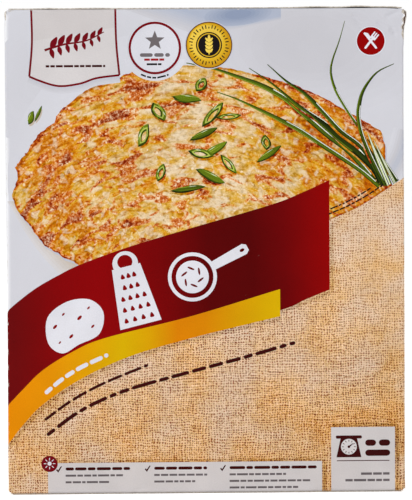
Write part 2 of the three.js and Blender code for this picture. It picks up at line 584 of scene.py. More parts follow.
def build_sheet(wall):
    """Makes the mesh of one wall with its flaps, printed outside and bare inside."""
    outline = traced(wall, wall.outline())
    printed = print_near(outline)
    shapes = [traced(wall, points) for _, points, _ in printed]
    flat, triangles, tops, _ = triangulated(outline, shapes, wall.relief_points())
    loop = rim_loop(triangles)
    edge = [tuple(flat[i]) for i in loop]
    back_flat, back_triangles, _, origins = triangulated(edge, [], wall.relief_points()[::2])

    beneath = {}
    for new, origin in enumerate(origins):
        beneath.update({old: len(flat) + new for old in origin if old < len(loop)})
    rim = []
    for k, vertex in enumerate(loop):
        after = (k + 1) % len(loop)
        rim.append((loop[after], vertex, beneath[k], beneath[after]))
    backs = [tuple(len(flat) + i for i in reversed(t)) for t in back_triangles]

    outer = wall.folded(flat[:, 0], flat[:, 1], 0.0)
    inner = wall.folded(back_flat[:, 0], back_flat[:, 1], SHEET)
    points = [tuple(p * MM) for p in np.vstack([outer, inner])]
    piece, mesh = new_piece(wall.name, points, triangles + backs + rim)

    fields = [printed[top - 1][::2] if top else (PLAIN, 0.5) for top in tops]
    fields += [(BARE, 0.5)] * len(backs) + [(CUT, 0.5)] * len(rim)
    names = sorted({ink for ink, _ in fields})
    for name in names:
        mesh.materials.append(INKS[name])
    mesh.polygons.foreach_set("material_index", [names.index(ink) for ink, _ in fields])
    tone = mesh.attributes.new(TONE, "FLOAT", "FACE")
    tone.data.foreach_set("value", [tone_here for _, tone_here in fields])
    all_flat = np.vstack([flat, back_flat])
    wear = mesh.attributes.new(WEAR, "FLOAT", "POINT")
    wear.data.foreach_set("value", wall.fold_distance(all_flat[:, 0], all_flat[:, 1]))

    corners = np.zeros(len(mesh.loops), int)
    mesh.loops.foreach_get("vertex_index", corners)
    lay_out(mesh, all_flat, corners, len(triangles), len(backs), len(rim))
    set_normals(mesh, corners, len(rim), np.vstack([
        wall.normals(flat[:, 0], flat[:, 1], 0.0),
        -wall.normals(back_flat[:, 0], back_flat[:, 1], SHEET),
    ]))
    mesh.validate()
    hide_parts("carton")
    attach(piece, "root")


def set_normals(mesh, corners, rim_count, directions):
    """Gives a sheet's two faces their own directions, and leaves its cut edge, drawn last, sharp."""
    normals = directions[corners]
    edge_faces = mesh.polygons[len(mesh.polygons) - rim_count:]
    normals[-4 * rim_count:] = np.repeat([face.normal[:] for face in edge_faces], 4, axis=0)
    mesh.polygons.foreach_set("use_smooth", [True] * len(mesh.polygons))
    mesh.normals_split_custom_set(normals.tolist())


def lay_out(mesh, flat, corners, printed_count, bare_count, rim_count):
    """Gives a sheet its place on the blank as one UV map, and a map for its baked image."""
    blank_map = mesh.uv_layers.new(name="blank")
    blank_map.data.foreach_set("uv", flat[corners].ravel())

    low, high = flat.min(axis=0), flat.max(axis=0)
    unit = ((flat - low) / (high - low))[corners]
    baked = np.zeros((len(corners), 2))
    printed = printed_count * 3
    bare = printed + bare_count * 3
    baked[:printed] = IMAGE_MARGIN + unit[:printed] * [PRINTED_WIDE, 1 - 2 * IMAGE_MARGIN]
    left = IMAGE_MARGIN + PRINTED_WIDE + IMAGE_GAP
    wide = 1 - IMAGE_MARGIN - left
    baked[printed:bare] = [left, IMAGE_MARGIN] + unit[printed:bare] * [wide, BARE_TALL]

    # The faces of the cut edge stand in columns, with a little room between these.
    rows = math.ceil(rim_count / EDGE_COLUMNS)
    k = np.arange(rim_count)
    cell_wide, cell_tall = wide / EDGE_COLUMNS, EDGE_TALL / rows
    cell_left = left + (k // rows) * cell_wide
    cell_foot = IMAGE_MARGIN + BARE_TALL + IMAGE_GAP + (k % rows) * cell_tall
    cells = np.zeros((rim_count, 4, 2))
    for corner, (right, up) in enumerate([(0, 1), (0, 0), (1, 0), (1, 1)]):
        cells[:, corner, 0] = cell_left + right * cell_wide * 0.8
        cells[:, corner, 1] = cell_foot + up * cell_tall
    baked[bare:] = cells.reshape(-1, 2)
    bake_map = mesh.uv_layers.new(name="OFBake")
    bake_map.data.foreach_set("uv", baked.ravel())
    blank_map.active = True
    blank_map.active_render = True


# ---------------------------------------------------------------- materials

CAKE_MIDDLE = (-3.0, 130.0)
CAKE_REACH = (78.0, 49.0)  # half its width and height
RING_MIDDLE = (-3.0, 54.0)  # of the rings that the shreds of the potato cake lie along
RING_SQUASH = 0.92  # height of those rings for their width
RING_RADIUS = 92.0  # where a step round the rings is as long as a step across them

THREAD_PITCH = 1.02  # from one thread of the hessian to the next
THREAD_DRIFT = 2.4  # how far its threads wander

FRONT_LIGHT = 0.96  # how much light the studio gives a white wall that faces the front
EYE_GAMMA = 2.2  # between the light of a colour and how bright the eye sees it
LIFT = 2.9  # how fast a colour turns pale above its middle
NOISE_LOW, NOISE_HIGH = 0.3, 0.7  # even noise lies mostly between these
BUMP_HEIGHT = 0.0002
BUMP_STRENGTH = 0.35
WORN_ROUGHNESS = 0.35  # by which bare board is rougher than print
PRINT_SHINE = 0.05


def shade(red, green, blue, share=1.0):
    """The surface colour that shows as the given one, 0 to 255, in the light of the studio."""
    linear = []
    for value in (red, green, blue):
        value = value / 255
        value = value / 12.92 if value <= 0.04045 else ((value + 0.055) / 1.055) ** 2.4
        linear.append(min(1.0, share * value / FRONT_LIGHT))
    return (*linear, 1.0)


def join(tree, node, sockets):
    """Joins each given socket of a node to an output, or sets it to a constant."""
    for name, value in sockets.items():
        if isinstance(value, bpy.types.NodeSocket):
            tree.links.new(value, node.inputs[name])
        else:
            node.inputs[name].default_value = value
    return node


def add(tree, kind, sockets=None, **settings):
    """Adds a node with its sockets and settings."""
    made = tree.nodes.new("ShaderNode" + kind)
    for name, value in settings.items():
        setattr(made, name, value)
    return join(tree, made, sockets or {})


def sums(tree, operation, first, second=None, clamp=False):
    """One arithmetic step on one or two values."""
    sockets = {0: first} if second is None else {0: first, 1: second}
    return add(tree, "Math", sockets, operation=operation, use_clamp=clamp).outputs[0]


def plus(tree, *values):
    """The sum of several values."""
    total = values[0]
    for value in values[1:]:
        total = sums(tree, "ADD", total, value)
    return total


def minus(tree, first, second):
    """The first value less the second."""
    return sums(tree, "SUBTRACT", first, second)


def times(tree, first, second):
    """The product of two values."""
    return sums(tree, "MULTIPLY", first, second)


def vectors(tree, operation, first, second=None):
    """The node of one step on one or two vectors."""
    sockets = {0: first} if second is None else {0: first, 1: second}
    return add(tree, "VectorMath", sockets, operation=operation)


def spread(tree, value, low, high, to_low=0.0, to_high=1.0, smooth=False):
    """Stretches a value from one range to another and stops at its ends."""
    sockets = {"Value": value, "From Min": low, "From Max": high, "To Min": to_low, "To Max": to_high}
    kind = "SMOOTHSTEP" if smooth else "LINEAR"
    return add(tree, "MapRange", sockets, interpolation_type=kind).outputs["Result"]


def swing(tree, noise_value, down, up):
    """Stretches even noise, so that it runs mostly from down to up."""
    return spread(tree, noise_value, NOISE_LOW, NOISE_HIGH, down, up)


def mixed(tree, share, first, second):
    """Mixes two colours."""
    factor, first_colour, second_colour, result = 0, 6, 7, 2  # the sockets of colours have no names
    node = add(tree, "Mix", data_type="RGBA")
    join(tree, node, {factor: share, first_colour: first, second_colour: second})
    return node.outputs[result]


def ramp(tree, value, stops):
    """Colours along a value, from stops of a place, 0 to 1, and what shade takes for its colour."""
    node = add(tree, "ValToRGB", {"Fac": value})
    elements = node.color_ramp.elements
    while len(elements) < len(stops):
        elements.new(0.5)
    for element, (place, *colour) in zip(elements, stops):
        element.position = place
        element.color = shade(*colour)
    return node.outputs["Color"]


def on_blank(tree, stretch=None, turn=0.0):
    """Millimetres across and up the flat blank, turned in degrees and stretched for a pattern."""
    place = add(tree, "UVMap", uv_map="blank").outputs["UV"]
    if turn:
        sockets = {"Vector": place, "Rotation": (0, 0, math.radians(turn))}
        place = add(tree, "Mapping", sockets, vector_type="POINT").outputs["Vector"]
    if stretch:
        sockets = {"Vector": place, "Scale": (*stretch, 1.0)}
        place = add(tree, "Mapping", sockets, vector_type="POINT").outputs["Vector"]
    return place


def speckle(tree, place, scale, detail=2.0, roughness=0.5, distortion=0.0):
    """Even noise from 0 to 1 at a place on the blank."""
    sockets = {
        "Vector": place, "Scale": scale, "Detail": detail, "Roughness": roughness,
        "Distortion": distortion,
    }
    return add(tree, "TexNoise", sockets, noise_dimensions="2D").outputs["Fac"]


def from_fold(tree):
    """Millimetres from the nearest folded or cut edge."""
    return add(tree, "Attribute", attribute_name=WEAR).outputs["Fac"]


def tone_of(tree):
    """The tone that a printed shape was given."""
    return add(tree, "Attribute", attribute_name=TONE).outputs["Fac"]


GREY = (0.5, 0.5, 0.5, 1.0)  # what a shared group's colours are until a material sets them


def new_group(name, numbers, colours, results):
    """Starts a group of shader nodes that several materials share.

    numbers and colours are its inputs with their first values. A result named Color is a colour and
    any other one a value.
    """
    tree = bpy.data.node_groups.new(name, "ShaderNodeTree")
    for given, kind in ((colours, "NodeSocketColor"), (numbers, "NodeSocketFloat")):
        for label, value in given.items():
            socket = tree.interface.new_socket(label, in_out="INPUT", socket_type=kind)
            socket.default_value = value
    for label in results:
        kind = "NodeSocketColor" if label == "Color" else "NodeSocketFloat"
        tree.interface.new_socket(label, in_out="OUTPUT", socket_type=kind)
    return tree, tree.nodes.new("NodeGroupInput").outputs, tree.nodes.new("NodeGroupOutput")


def board_relief_group():
    """Height of the board's face: paper grain, faint waves and rubbed folds."""
    tree, given, end = new_group("Board relief", {"Grain": 0.3}, {}, ["Height"])
    grain = speckle(tree, on_blank(tree), 2.6, 3.0, 0.6)
    waves = speckle(tree, on_blank(tree), 0.07, 2.0, 0.5)
    fibres = speckle(tree, on_blank(tree, (0.35, 2.2), 8), 1.0, 2.0, 0.6)
    rubbed = spread(tree, from_fold(tree), 0.0, 1.6, 1.0, 0.0, smooth=True)
    rough_fold = times(tree, speckle(tree, on_blank(tree), 1.4, 3.0, 0.6), rubbed)
    fine = times(tree, plus(tree, grain, fibres), given["Grain"])
    join(tree, end, {"Height": plus(tree, fine, rough_fold, waves)})
    return tree


def fold_wear_group():
    """Print that is rubbed off in spots along folded edges, and the bare board under it."""
    tree, given, end = new_group("Fold wear", {"Amount": 0.5}, {"Print": GREY}, ["Color", "Worn"])
    near = spread(tree, from_fold(tree), 0.0, 1.0, 1.0, 0.0, smooth=True)
    spots = speckle(tree, on_blank(tree, (1.0, 0.35)), 0.9, 4.0, 0.7)
    scuffs = speckle(tree, on_blank(tree, (0.15, 1.1), -24), 0.6, 3.0, 0.75)
    reach = times(tree, near, given["Amount"])
    worn = spread(tree, plus(tree, spots, reach), 0.92, 1.08, smooth=True)
    scuffed = spread(tree, scuffs, 0.80, 0.86, 0.0, 0.35)
    rubbed = sums(tree, "MAXIMUM", worn, scuffed)
    bare = mixed(tree, speckle(tree, on_blank(tree), 1.7), shade(196, 190, 182), shade(228, 224, 218))
    join(tree, end, {"Color": mixed(tree, rubbed, given["Print"], bare), "Worn": rubbed})
    return tree


def print_mottle_group():
    """Uneven ink: slow drifts of density and a fine grain."""
    tree, given, end = new_group(
        "Print mottle", {"Drift": 0.06, "Grain": 0.03}, {"Ink": GREY}, ["Color"]
    )
    slow = swing(tree, speckle(tree, on_blank(tree), 0.045), -1.0, 1.0)
    fine = swing(tree, speckle(tree, on_blank(tree), 2.1), -1.0, 1.0)
    slow = times(tree, slow, given["Drift"])
    fine = times(tree, fine, given["Grain"])
    sockets = {"Color": given["Ink"], "Value": plus(tree, slow, fine, 1.0)}
    join(tree, end, {"Color": add(tree, "HueSaturation", sockets).outputs["Color"]})
    return tree


def light_and_dark_group():
    """A colour with its lights and darks: below zero the step takes the same off all its parts, as the
    eye sees them, and above zero it brings the colour closer to a pale one."""
    tree, given, end = new_group(
        "Light and dark", {"Step": 0.0}, {"Color": GREY, "Pale Color": GREY}, ["Color"]
    )

    def powered(colour, power):
        return add(tree, "Gamma", {"Color": colour, "Gamma": power}).outputs["Color"]

    seen = powered(given["Color"], 1 / EYE_GAMMA)
    pale = powered(given["Pale Color"], 1 / EYE_GAMMA)
    down = sums(tree, "MINIMUM", given["Step"], 0.0)
    up = sums(tree, "MULTIPLY", given["Step"], LIFT, clamp=True)
    darker = vectors(tree, "ADD", seen, down).outputs[0]
    kept = vectors(tree, "MAXIMUM", darker, (0.0, 0.0, 0.0)).outputs[0]
    join(tree, end, {"Color": powered(mixed(tree, up, kept, pale), EYE_GAMMA)})
    return tree


RELIEF = board_relief_group()
FOLD_WEAR = fold_wear_group()
MOTTLE = print_mottle_group()
LIGHT_AND_DARK = light_and_dark_group()


def use(tree, group, sockets):
    """Puts a shared group into a material."""
    node = tree.nodes.new("ShaderNodeGroup")
    node.node_tree = group
    return join(tree, node, sockets).outputs


def shaded(tree, colour, step, pale):
    """A colour with its lights and darks."""
    sockets = {"Color": colour, "Step": step, "Pale Color": pale}
    return use(tree, LIGHT_AND_DARK, sockets)["Color"]


def new_material(name):
    """Starts a material without nodes."""
    material = bpy.data.materials.new(name)
    material.use_nodes = True
    material.node_tree.nodes.clear()
    return material, material.node_tree


def printed_material(name, colour_of, gloss=(0.34, 0.46), drift=0.05, grain=0.03, wear=0.42,
                     relief=0.25):
    """A printed and varnished face of the board. colour_of adds the nodes of the ink's colour."""
    material, tree = new_material(name)
    mottled = use(tree, MOTTLE, {"Ink": colour_of(tree), "Drift": drift, "Grain": grain})["Color"]
    face = use(tree, FOLD_WEAR, {"Print": mottled, "Amount": wear})
    height = use(tree, RELIEF, {"Grain": relief})["Height"]
    sockets = {"Height": height, "Strength": BUMP_STRENGTH, "Distance": BUMP_HEIGHT}
    bump = add(tree, "Bump", sockets).outputs["Normal"]
    smear = speckle(tree, on_blank(tree, (0.4, 1.0), 15), 0.12, 3.0, 0.6)
    worn = times(tree, face["Worn"], WORN_ROUGHNESS)
    rough = sums(tree, "ADD", swing(tree, smear, *gloss), worn, clamp=True)
    body = add(tree, "BsdfPrincipled", {
        "Base Color": face["Color"], "Roughness": rough, "Normal": bump,
        "Specular IOR Level": PRINT_SHINE,
    })
    add(tree, "OutputMaterial", {"Surface": body.outputs["BSDF"]})
    return material


def plain_ink(*stops):
    """A solid ink, with its colour along the shapes' tone where more than one is given."""
    def colour(tree):
        if len(stops) == 1:
            return ramp(tree, tone_of(tree), [(0.0, *stops[0], 0.8), (1.0, *stops[0])])
        last = len(stops) - 1
        return ramp(tree, tone_of(tree), [(k / last, *stop) for k, stop in enumerate(stops)])
    return colour


def millimetres(tree, place):
    """How far across and how far up the blank a place lies."""
    split = add(tree, "SeparateXYZ", {"Vector": place})
    return split.outputs["X"], split.outputs["Y"]


def banner_red(tree):
    """Dark red that is brightest at the left of the banner and at its end."""
    across, up = millimetres(tree, on_blank(tree))
    along_banner = spread(tree, plus(tree, across, times(tree, up, 0.06)), -76.0, 57.0)
    return ramp(tree, along_banner, [
        (0.00, 106, 6, 8), (0.07, 117, 3, 5), (0.14, 130, 1, 4),
        (0.30, 139, 0, 3), (0.44, 121, 0, 2), (0.62, 89, 0, 1),
        (0.76, 86, 0, 1), (0.86, 106, 0, 2), (0.94, 129, 0, 1),
        (1.00, 140, 0, 0),
    ])


def gold_band(tree):
    """Gold that runs between deep orange and bright yellow along the band."""
    across, _ = millimetres(tree, on_blank(tree))
    return ramp(tree, spread(tree, across, -82.0, 31.0), [
        (0.00, 226, 136, 0), (0.16, 226, 144, 0), (0.30, 222, 160, 0),
        (0.42, 220, 178, 0), (0.52, 217, 160, 0), (0.62, 215, 126, 0),
        (0.72, 216, 132, 0), (0.84, 216, 156, 0), (0.94, 212, 166, 0),
        (1.00, 218, 176, 0),
    ])


def cloth_threads(tree, place, thin_noise):
    """The hessian's holes, and how much lighter or darker its threads are at each place."""
    drift = add(tree, "TexNoise", {"Vector": place, "Scale": 0.10, "Detail": 2.0},
                noise_dimensions="2D").outputs["Color"]
    pushed = vectors(tree, "MULTIPLY", drift, (THREAD_DRIFT, THREAD_DRIFT, 0.0)).outputs[0]
    across, up = millimetres(tree, vectors(tree, "ADD", place, pushed).outputs[0])
    warp = sums(tree, "SINE", times(tree, across, math.pi / THREAD_PITCH))
    weft = sums(tree, "SINE", times(tree, up, math.pi / THREAD_PITCH))
    thread = sums(tree, "MAXIMUM", sums(tree, "ABSOLUTE", warp), sums(tree, "ABSOLUTE", weft))
    slack = swing(tree, speckle(tree, place, 1.3, 0.0), -0.37, 0.37)
    slack = plus(tree, slack, spread(tree, thin_noise, 0.7, 1.3, -0.12, 0.12))
    hole = spread(tree, plus(tree, thread, slack), 0.30, 0.78, 1.0, 0.0, smooth=True)
    over = spread(tree, times(tree, warp, weft), -1.0, 1.0, -0.03, 0.03)
    crown = spread(tree, thread, 0.55, 1.0, -0.04, 0.11)
    return hole, plus(tree, over, crown), across, up


def hessian(tree):
    """Coarse jute cloth: uneven threads over and under one another, with a dark hole at each corner."""
    place = on_blank(tree)
    upright = speckle(tree, on_blank(tree, (0.98, 0.12)), 1.0, 2.0, 0.6)
    sideways = speckle(tree, on_blank(tree, (0.12, 0.98)), 1.0, 2.0, 0.6)
    uneven = plus(tree, upright, sideways)
    hole, step, across, up = cloth_threads(tree, place, uneven)
    step = plus(
        tree, step, spread(tree, uneven, 0.7, 1.3, -0.07, 0.07),
        swing(tree, speckle(tree, place, 1.5, 3.0, 0.7), -0.12, 0.12),
    )
    # The cloth looks calmer at the upper right, and lies in shade at the lower right.
    calm = plus(tree, times(tree, up, 0.7), across)
    coarse = spread(tree, calm, 95.0, 145.0, 1.0, 0.62)
    step = times(tree, minus(tree, step, times(tree, hole, 0.07)), coarse)
    step = plus(
        tree, step, spread(tree, minus(tree, across, up), -10.0, 50.0, 0.0, -0.075),
        spread(tree, tone_of(tree), 0.0, 0.5, -0.30, 0.0),
    )
    low_down = spread(tree, up, 110.0, 30.0, -0.14, 0.07)
    warmth = spread(tree, plus(tree, speckle(tree, place, 0.05, 4.0, 0.6), low_down), 0.24, 0.76)
    cloth = ramp(tree, warmth, [
        (0.0, 222, 196, 171), (0.35, 222, 187, 147), (0.65, 221, 177, 120),
        (1.0, 218, 163, 95),
    ])
    cloth = mixed(tree, times(tree, hole, coarse), cloth, shade(160, 80, 0))
    return shaded(tree, cloth, step, shade(252, 226, 204))


def cake_rings(tree, place):
    """Places round and across the rings of the cake, and how far across it they lie."""
    s, t = millimetres(tree, place)
    across = minus(tree, s, RING_MIDDLE[0])
    up = times(tree, minus(tree, t, RING_MIDDLE[1]), 1 / RING_SQUASH)
    from_middle = add(tree, "CombineXYZ", {"X": across, "Y": up}).outputs["Vector"]
    out = vectors(tree, "LENGTH", from_middle).outputs["Value"]
    run = times(tree, sums(tree, "ARCTAN2", up, across), RING_RADIUS)
    return add(tree, "CombineXYZ", {"X": run, "Y": out}).outputs["Vector"], across


def ring_noise(tree, rings, stretch, distortion, detail=1.0, roughness=0.5):
    """Even noise, stretched round and across the rings of the cake."""
    place = vectors(tree, "MULTIPLY", rings, (*stretch, 1.0)).outputs[0]
    return speckle(tree, place, 1.0, detail, roughness, distortion)


def fresh_potato(tree, place, rings, across):
    """The colour of the cake where it isn't browned: cream, yellow and golden shreds."""
    body = plus(
        tree,
        swing(tree, ring_noise(tree, rings, (0.10, 0.21), 0.4), -0.36, 0.36),
        swing(tree, ring_noise(tree, rings, (0.18, 0.42), 0.5), -0.16, 0.16),
        swing(tree, speckle(tree, place, 0.06, 2.0, 0.5, 0.3), -0.24, 0.24),
        spread(tree, sums(tree, "ABSOLUTE", across), 15.0, 62.0, 0.05, -0.56),
        times(tree, tone_of(tree), 0.34),
        0.44,
    )
    potato = ramp(tree, body, [
        (0.00, 202, 114, 2), (0.20, 215, 138, 8), (0.38, 216, 160, 34),
        (0.54, 215, 170, 86), (0.72, 220, 184, 122), (1.00, 227, 202, 164),
    ])
    deep = ring_noise(tree, rings, (0.14, 0.34), 0.6)
    deep = spread(tree, deep, 0.56, 0.70, 0.0, 0.75, smooth=True)
    potato = mixed(tree, deep, potato, shade(186, 122, 8))
    yellow = ring_noise(tree, rings, (0.12, 0.24), 0.7)
    yellow = spread(tree, yellow, 0.48, 0.64, 0.0, 0.5, smooth=True)
    yellow = times(tree, yellow, spread(tree, across, -50.0, -15.0, 0.25, 1.0))
    potato = mixed(tree, yellow, potato, shade(212, 166, 60))
    pale = speckle(tree, place, 0.28, 1.0, 0.5, 0.4)
    pale = spread(tree, pale, 0.55, 0.68, 0.0, 0.6, smooth=True)
    return mixed(tree, pale, potato, shade(232, 210, 178))


def fried_potato(tree):
    """Grated potato fried in a pan: cream and golden shreds round the cake, browned in patches."""
    place = on_blank(tree)
    rings, across = cake_rings(tree, place)
    tone = tone_of(tree)
    outward = vectors(tree, "SUBTRACT", place, (*CAKE_MIDDLE, 0.0)).outputs[0]
    outward = vectors(tree, "DIVIDE", outward, (*CAKE_REACH, 1.0)).outputs[0]
    outward = vectors(tree, "LENGTH", outward).outputs["Value"]
    browning = plus(
        tree,
        ring_noise(tree, rings, (0.095, 0.21), 0.6, detail=2.0, roughness=0.58),
        spread(tree, outward, 0.3, 1.0, -0.02, 0.03),
        spread(tree, across, 20.0, -70.0, -0.022, 0.034),
        times(tree, tone, -0.10),
    )
    crust = ramp(tree, spread(tree, browning, 0.47, 0.70), [
        (0.0, 218, 144, 24), (0.22, 212, 122, 26), (0.45, 202, 104, 34),
        (0.72, 182, 84, 30), (1.0, 146, 58, 18),
    ])
    browned = spread(tree, browning, 0.45, 0.56, 0.0, 1.0, smooth=True)
    cake = mixed(tree, browned, fresh_potato(tree, place, rings, across), crust)

    grit = swing(tree, speckle(tree, place, 0.85, 2.0, 0.7), -0.17, 0.17)
    bumps = ring_noise(tree, rings, (0.36, 0.62), 0.5, detail=2.0, roughness=0.6)
    fat = spread(tree, speckle(tree, place, 0.7, 2.0, 0.6), 0.54, 0.66, 0.0, 0.14)
    step = plus(
        tree,
        times(tree, grit, spread(tree, browned, 0.0, 1.0, 0.42, 0.95)),
        swing(tree, bumps, -0.07, 0.13),
        times(tree, fat, browned),
        spread(tree, tone, 0.0, 1.0, -0.17, 0.17),
    )
    return shaded(tree, cake, step, shade(250, 232, 204))


def fibres(place_of, scale, detail, roughness, *stops):
    """The fibres of unprinted board, from dark to pale ones."""
    def colour(tree):
        value = speckle(tree, on_blank(tree, *place_of), scale, detail, roughness)
        return ramp(tree, value, [(place, *stop) for place, stop in zip((0.25, 0.5, 0.8), stops)])
    return colour


def white_board(tree):
    """White coated board, greyer and bluer in shapes of low tone."""
    return ramp(tree, tone_of(tree), [
        (0.0, 120, 136, 166), (0.25, 176, 183, 200), (0.42, 199, 198, 204),
        (0.5, 209, 209, 216), (0.75, 225, 225, 230), (1.0, 242, 242, 244),
    ])


# For each ink, where its colour comes from and how it differs from a plain printed face.
INK_LOOKS = {
    "white board": (white_board, dict(grain=0.012, drift=0.02)),
    "hessian": (hessian, dict(grain=0.02)),
    "banner red": (banner_red, dict(grain=0.05, wear=0.46)),
    "gold band": (gold_band, {}),
    "fried potato": (fried_potato, {}),
    "chive": (plain_ink((18, 26, 6), (44, 60, 10), (82, 102, 14), (124, 146, 26), (172, 187, 80),
                        (232, 236, 222)), dict(drift=0.16, grain=0.14)),
    "brown ink": (plain_ink((62, 12, 12)), dict(drift=0.1)),
    "black ink": (plain_ink((26, 22, 24)), dict(drift=0.1)),
    "grey ink": (plain_ink((96, 88, 90), (150, 146, 150)), dict(drift=0.1)),
    "white ink": (plain_ink((206, 206, 214), (226, 226, 233)), {}),
    "red ink": (plain_ink((168, 20, 30)), dict(drift=0.08)),
    "dark red ink": (plain_ink((118, 10, 22)), dict(drift=0.08)),
    "label paper": (plain_ink((178, 168, 164), (208, 203, 203), (228, 226, 226)), dict(drift=0.04)),
    "plate shadow": (plain_ink((194, 180, 164), (204, 196, 190), (214, 213, 218)), dict(drift=0.04)),
    "medal gold": (plain_ink((196, 142, 22), (222, 178, 40), (244, 214, 96)), dict(gloss=(0.28, 0.36))),
    BARE: (fibres(((0.5, 1.6), 5), 1.3, 4.0, 0.65, (138, 126, 112), (172, 162, 148), (200, 192, 180)),
           dict(gloss=(0.8, 0.9), wear=0.0, relief=0.7)),
    CUT: (fibres((), 0.9, 3.0, 0.6, (172, 160, 146), (196, 187, 175), (222, 216, 207)),
          dict(gloss=(0.8, 0.9), wear=0.0, relief=0.9)),
}
INKS = {name: printed_material(name, colour, **look) for name, (colour, look) in INK_LOOKS.items()}

# ---------------------------------------------------------------- the print on the blank

FOOT, HEAD = -34.0, 236.0  # past the ends of the flaps
SMALL_PRINT = 1.1  # words lower than this are bars with square ends
LINE_SPACING = 2.1  # from one line of small print to the next, in heights of its bars
SHREDS, CRUMBS = 420, 520

BANNER_TOP = curve([
    (-113, 46.6), (-103, 54.5), (-92, 66), (-82.5, 76.2), (-77.2, 80.9), (-70, 86.2), (-61.5, 91),
    (-52, 95.6), (-32.2, 102.7), (-6.1, 110.4), (27.2, 119.9), (40, 124.8), (51.3, 129.9),
])
BANNER_FOOT = curve([
    (-113, 10), (-103, 12), (-92, 18), (-80.5, 24.6), (-70, 37.2), (-52.5, 48.9), (-32.5, 58.1),
    (-6.4, 65.8), (30.9, 76.1), (41.1, 80.4), (51.3, 84.5),
])
GOLD_TOP = curve([
    (-113, 15.3), (-103, 20), (-92, 28.4), (-82.5, 37.4), (-76.5, 43.6), (-68, 51.8), (-56, 59.2),
    (-42, 65.1), (-6.3, 73.9), (30.7, 84.9),
])
GOLD_FOOT = curve([
    (-113, 5.4), (-103, 8), (-92, 13.4), (-82.5, 21.4), (-76.5, 28.8), (-68, 37.6), (-52.5, 47.9),
    (-32.5, 57.1), (-6.4, 64.8), (30.7, 73.6),
])
HESSIAN_EDGE = curve([
    (40, 106), (51.4, 113.3), (59.9, 117), (68.2, 121.5), (76.5, 126.9), (84, 131.5), (95, 136.5),
    (113, 140), (128, 140),
])
ROSTI_EDGE = [
    (-78.6, 135.9), (-77.4, 130.8), (-80, 125.6), (-78.8, 119.4), (-73.7, 113.2), (-67.8, 104.5),
    (-59.5, 99.4), (-51, 94.9), (-46, 91), (0, 84), (46, 96), (60, 108), (68, 117), (75.6, 125.6),
    (74.4, 134), (74.4, 142), (72.8, 150.4), (67, 153.8), (61, 157), (51, 163), (38.6, 168.8),
    (24.5, 172.8), (14.6, 175.4), (3, 177.6), (-8.1, 177.6), (-20, 177.0), (-29.8, 175.3), (-36, 172.6),
    (-41.6, 170.4), (-48.4, 168.2), (-54.7, 163.4), (-60.4, 158.5), (-62.5, 154.4), (-69.2, 149.3),
    (-73.4, 142.6),
]


def inside(points, place):
    """Whether a place lies inside a closed outline."""
    found = False
    for a, b in zip(points, points[1:] + points[:1]):
        if (a[1] > place[1]) != (b[1] > place[1]):
            if place[0] < a[0] + (place[1] - a[1]) * (b[0] - a[0]) / (b[1] - a[1]):
                found = not found
    return found


def soft_line(ink, path, width, tones, offset=0.0, steps=24):
    """A soft shadow or light along a line, as strips that narrow from tone to tone."""
    for k, tone in enumerate(tones):
        share = 1 - k / len(tones)
        paint(ink, ribbon(path, width * share, offset=offset, steps=steps), tone)


def soft_oval(ink, middle, radius_s, radius_t, turn, tones, least):
    """A soft oval, as ovals inside one another, the last one with the least share of its size."""
    for k, tone in enumerate(tones):
        share = 1 - (1 - least) * k / (len(tones) - 1)
        paint(ink, oval(middle, radius_s * share, radius_t * share, turn, 48), tone)


def soft_shape(ink, outer, inner, tones):
    """A soft shade, as outlines one after another from an outer to an inner one."""
    for k, tone in enumerate(tones):
        share = k / (len(tones) - 1)
        paint(ink, [
            (a[0] + (b[0] - a[0]) * share, a[1] + (b[1] - a[1]) * share)
            for a, b in zip(outer, inner)
        ], tone)


def steps_between(first, last, count):
    """Evenly spaced values."""
    return [first + (last - first) * k / (count - 1) for k in range(count)]


def paint_fields():
    """The large fields: white board above and hessian below, with a plate's soft shadows."""
    paint("white board", box_outline((-300, FOOT), (140, HEAD)))
    # Painted highlight: a lighter strip of white board down the left fold, where the light from the left
    # falls on it.
    soft_line("white board", [(-82.1, 70), (-82.1, 202)], 2.6, [0.62, 0.76, 0.9])
    soft_oval("white board", (-58, 176), 40, 24, 30, steps_between(0.496, 0.46, 7), 0.3)
    soft_oval("white board", (-2, 128), 80, 66, -6, steps_between(0.50, 0.53, 5), 0.86)
    soft_oval("white board", (44, 186), 50, 30, 0, steps_between(0.49, 0.42, 7), 0.4)
    # A bluish shade that falls over the top of the white field.
    soft_shape(
        "white board",
        [(-34, 214), (-33, 201), (-4, 190.4), (11, 192.1), (31.7, 196), (31.7, 214)],
        [(-13, 214), (-12, 201), (6.5, 194.6), (21.5, 195.6), (31.7, 197.75), (31.7, 212.6)],
        steps_between(0.44, 0.24, 8),
    )
    soft_oval("white board", (14, 198.6), 14, 4.6, 6, steps_between(0.2, 0.08, 6), 0.4)
    # The shadow of the cake on its plate.
    soft_shape(
        "plate shadow",
        [(-82, 122), (-78.5, 116), (-74.5, 109), (-70.5, 103), (-66, 97.4), (-60.5, 91.6),
         (-40, 84), (-40, 122)],
        [(-79, 122), (-73.7, 117.8), (-69.7, 112), (-64.5, 106.6), (-59.4, 101.6), (-53.9, 96.4),
         (-40, 84), (-40, 122)],
        steps_between(0.84, 0.0, 7),
    )
    soft_line("white board", curve([(84, 150), (80, 138), (70, 124), (60, 115)]), 12,
              steps_between(0.55, 0.34, 6))


def paint_cloth():
    """The hessian, and the golden line along its upper edge."""
    soft_line("fried potato", HESSIAN_EDGE[:34], 1.8, [0.25, 0.12, 0.0], steps=30)
    below = [(-113, FOOT), (140, FOOT), (140, 140)]
    paint("hessian", below + HESSIAN_EDGE[::-1] + [(-60, 70), (-113, 20)])


def waver(x, y, layer):
    """A smooth unevenness over a plane, from -1 to 1 and another one on each layer."""
    return noise.noise(Vector((x, y, layer)))


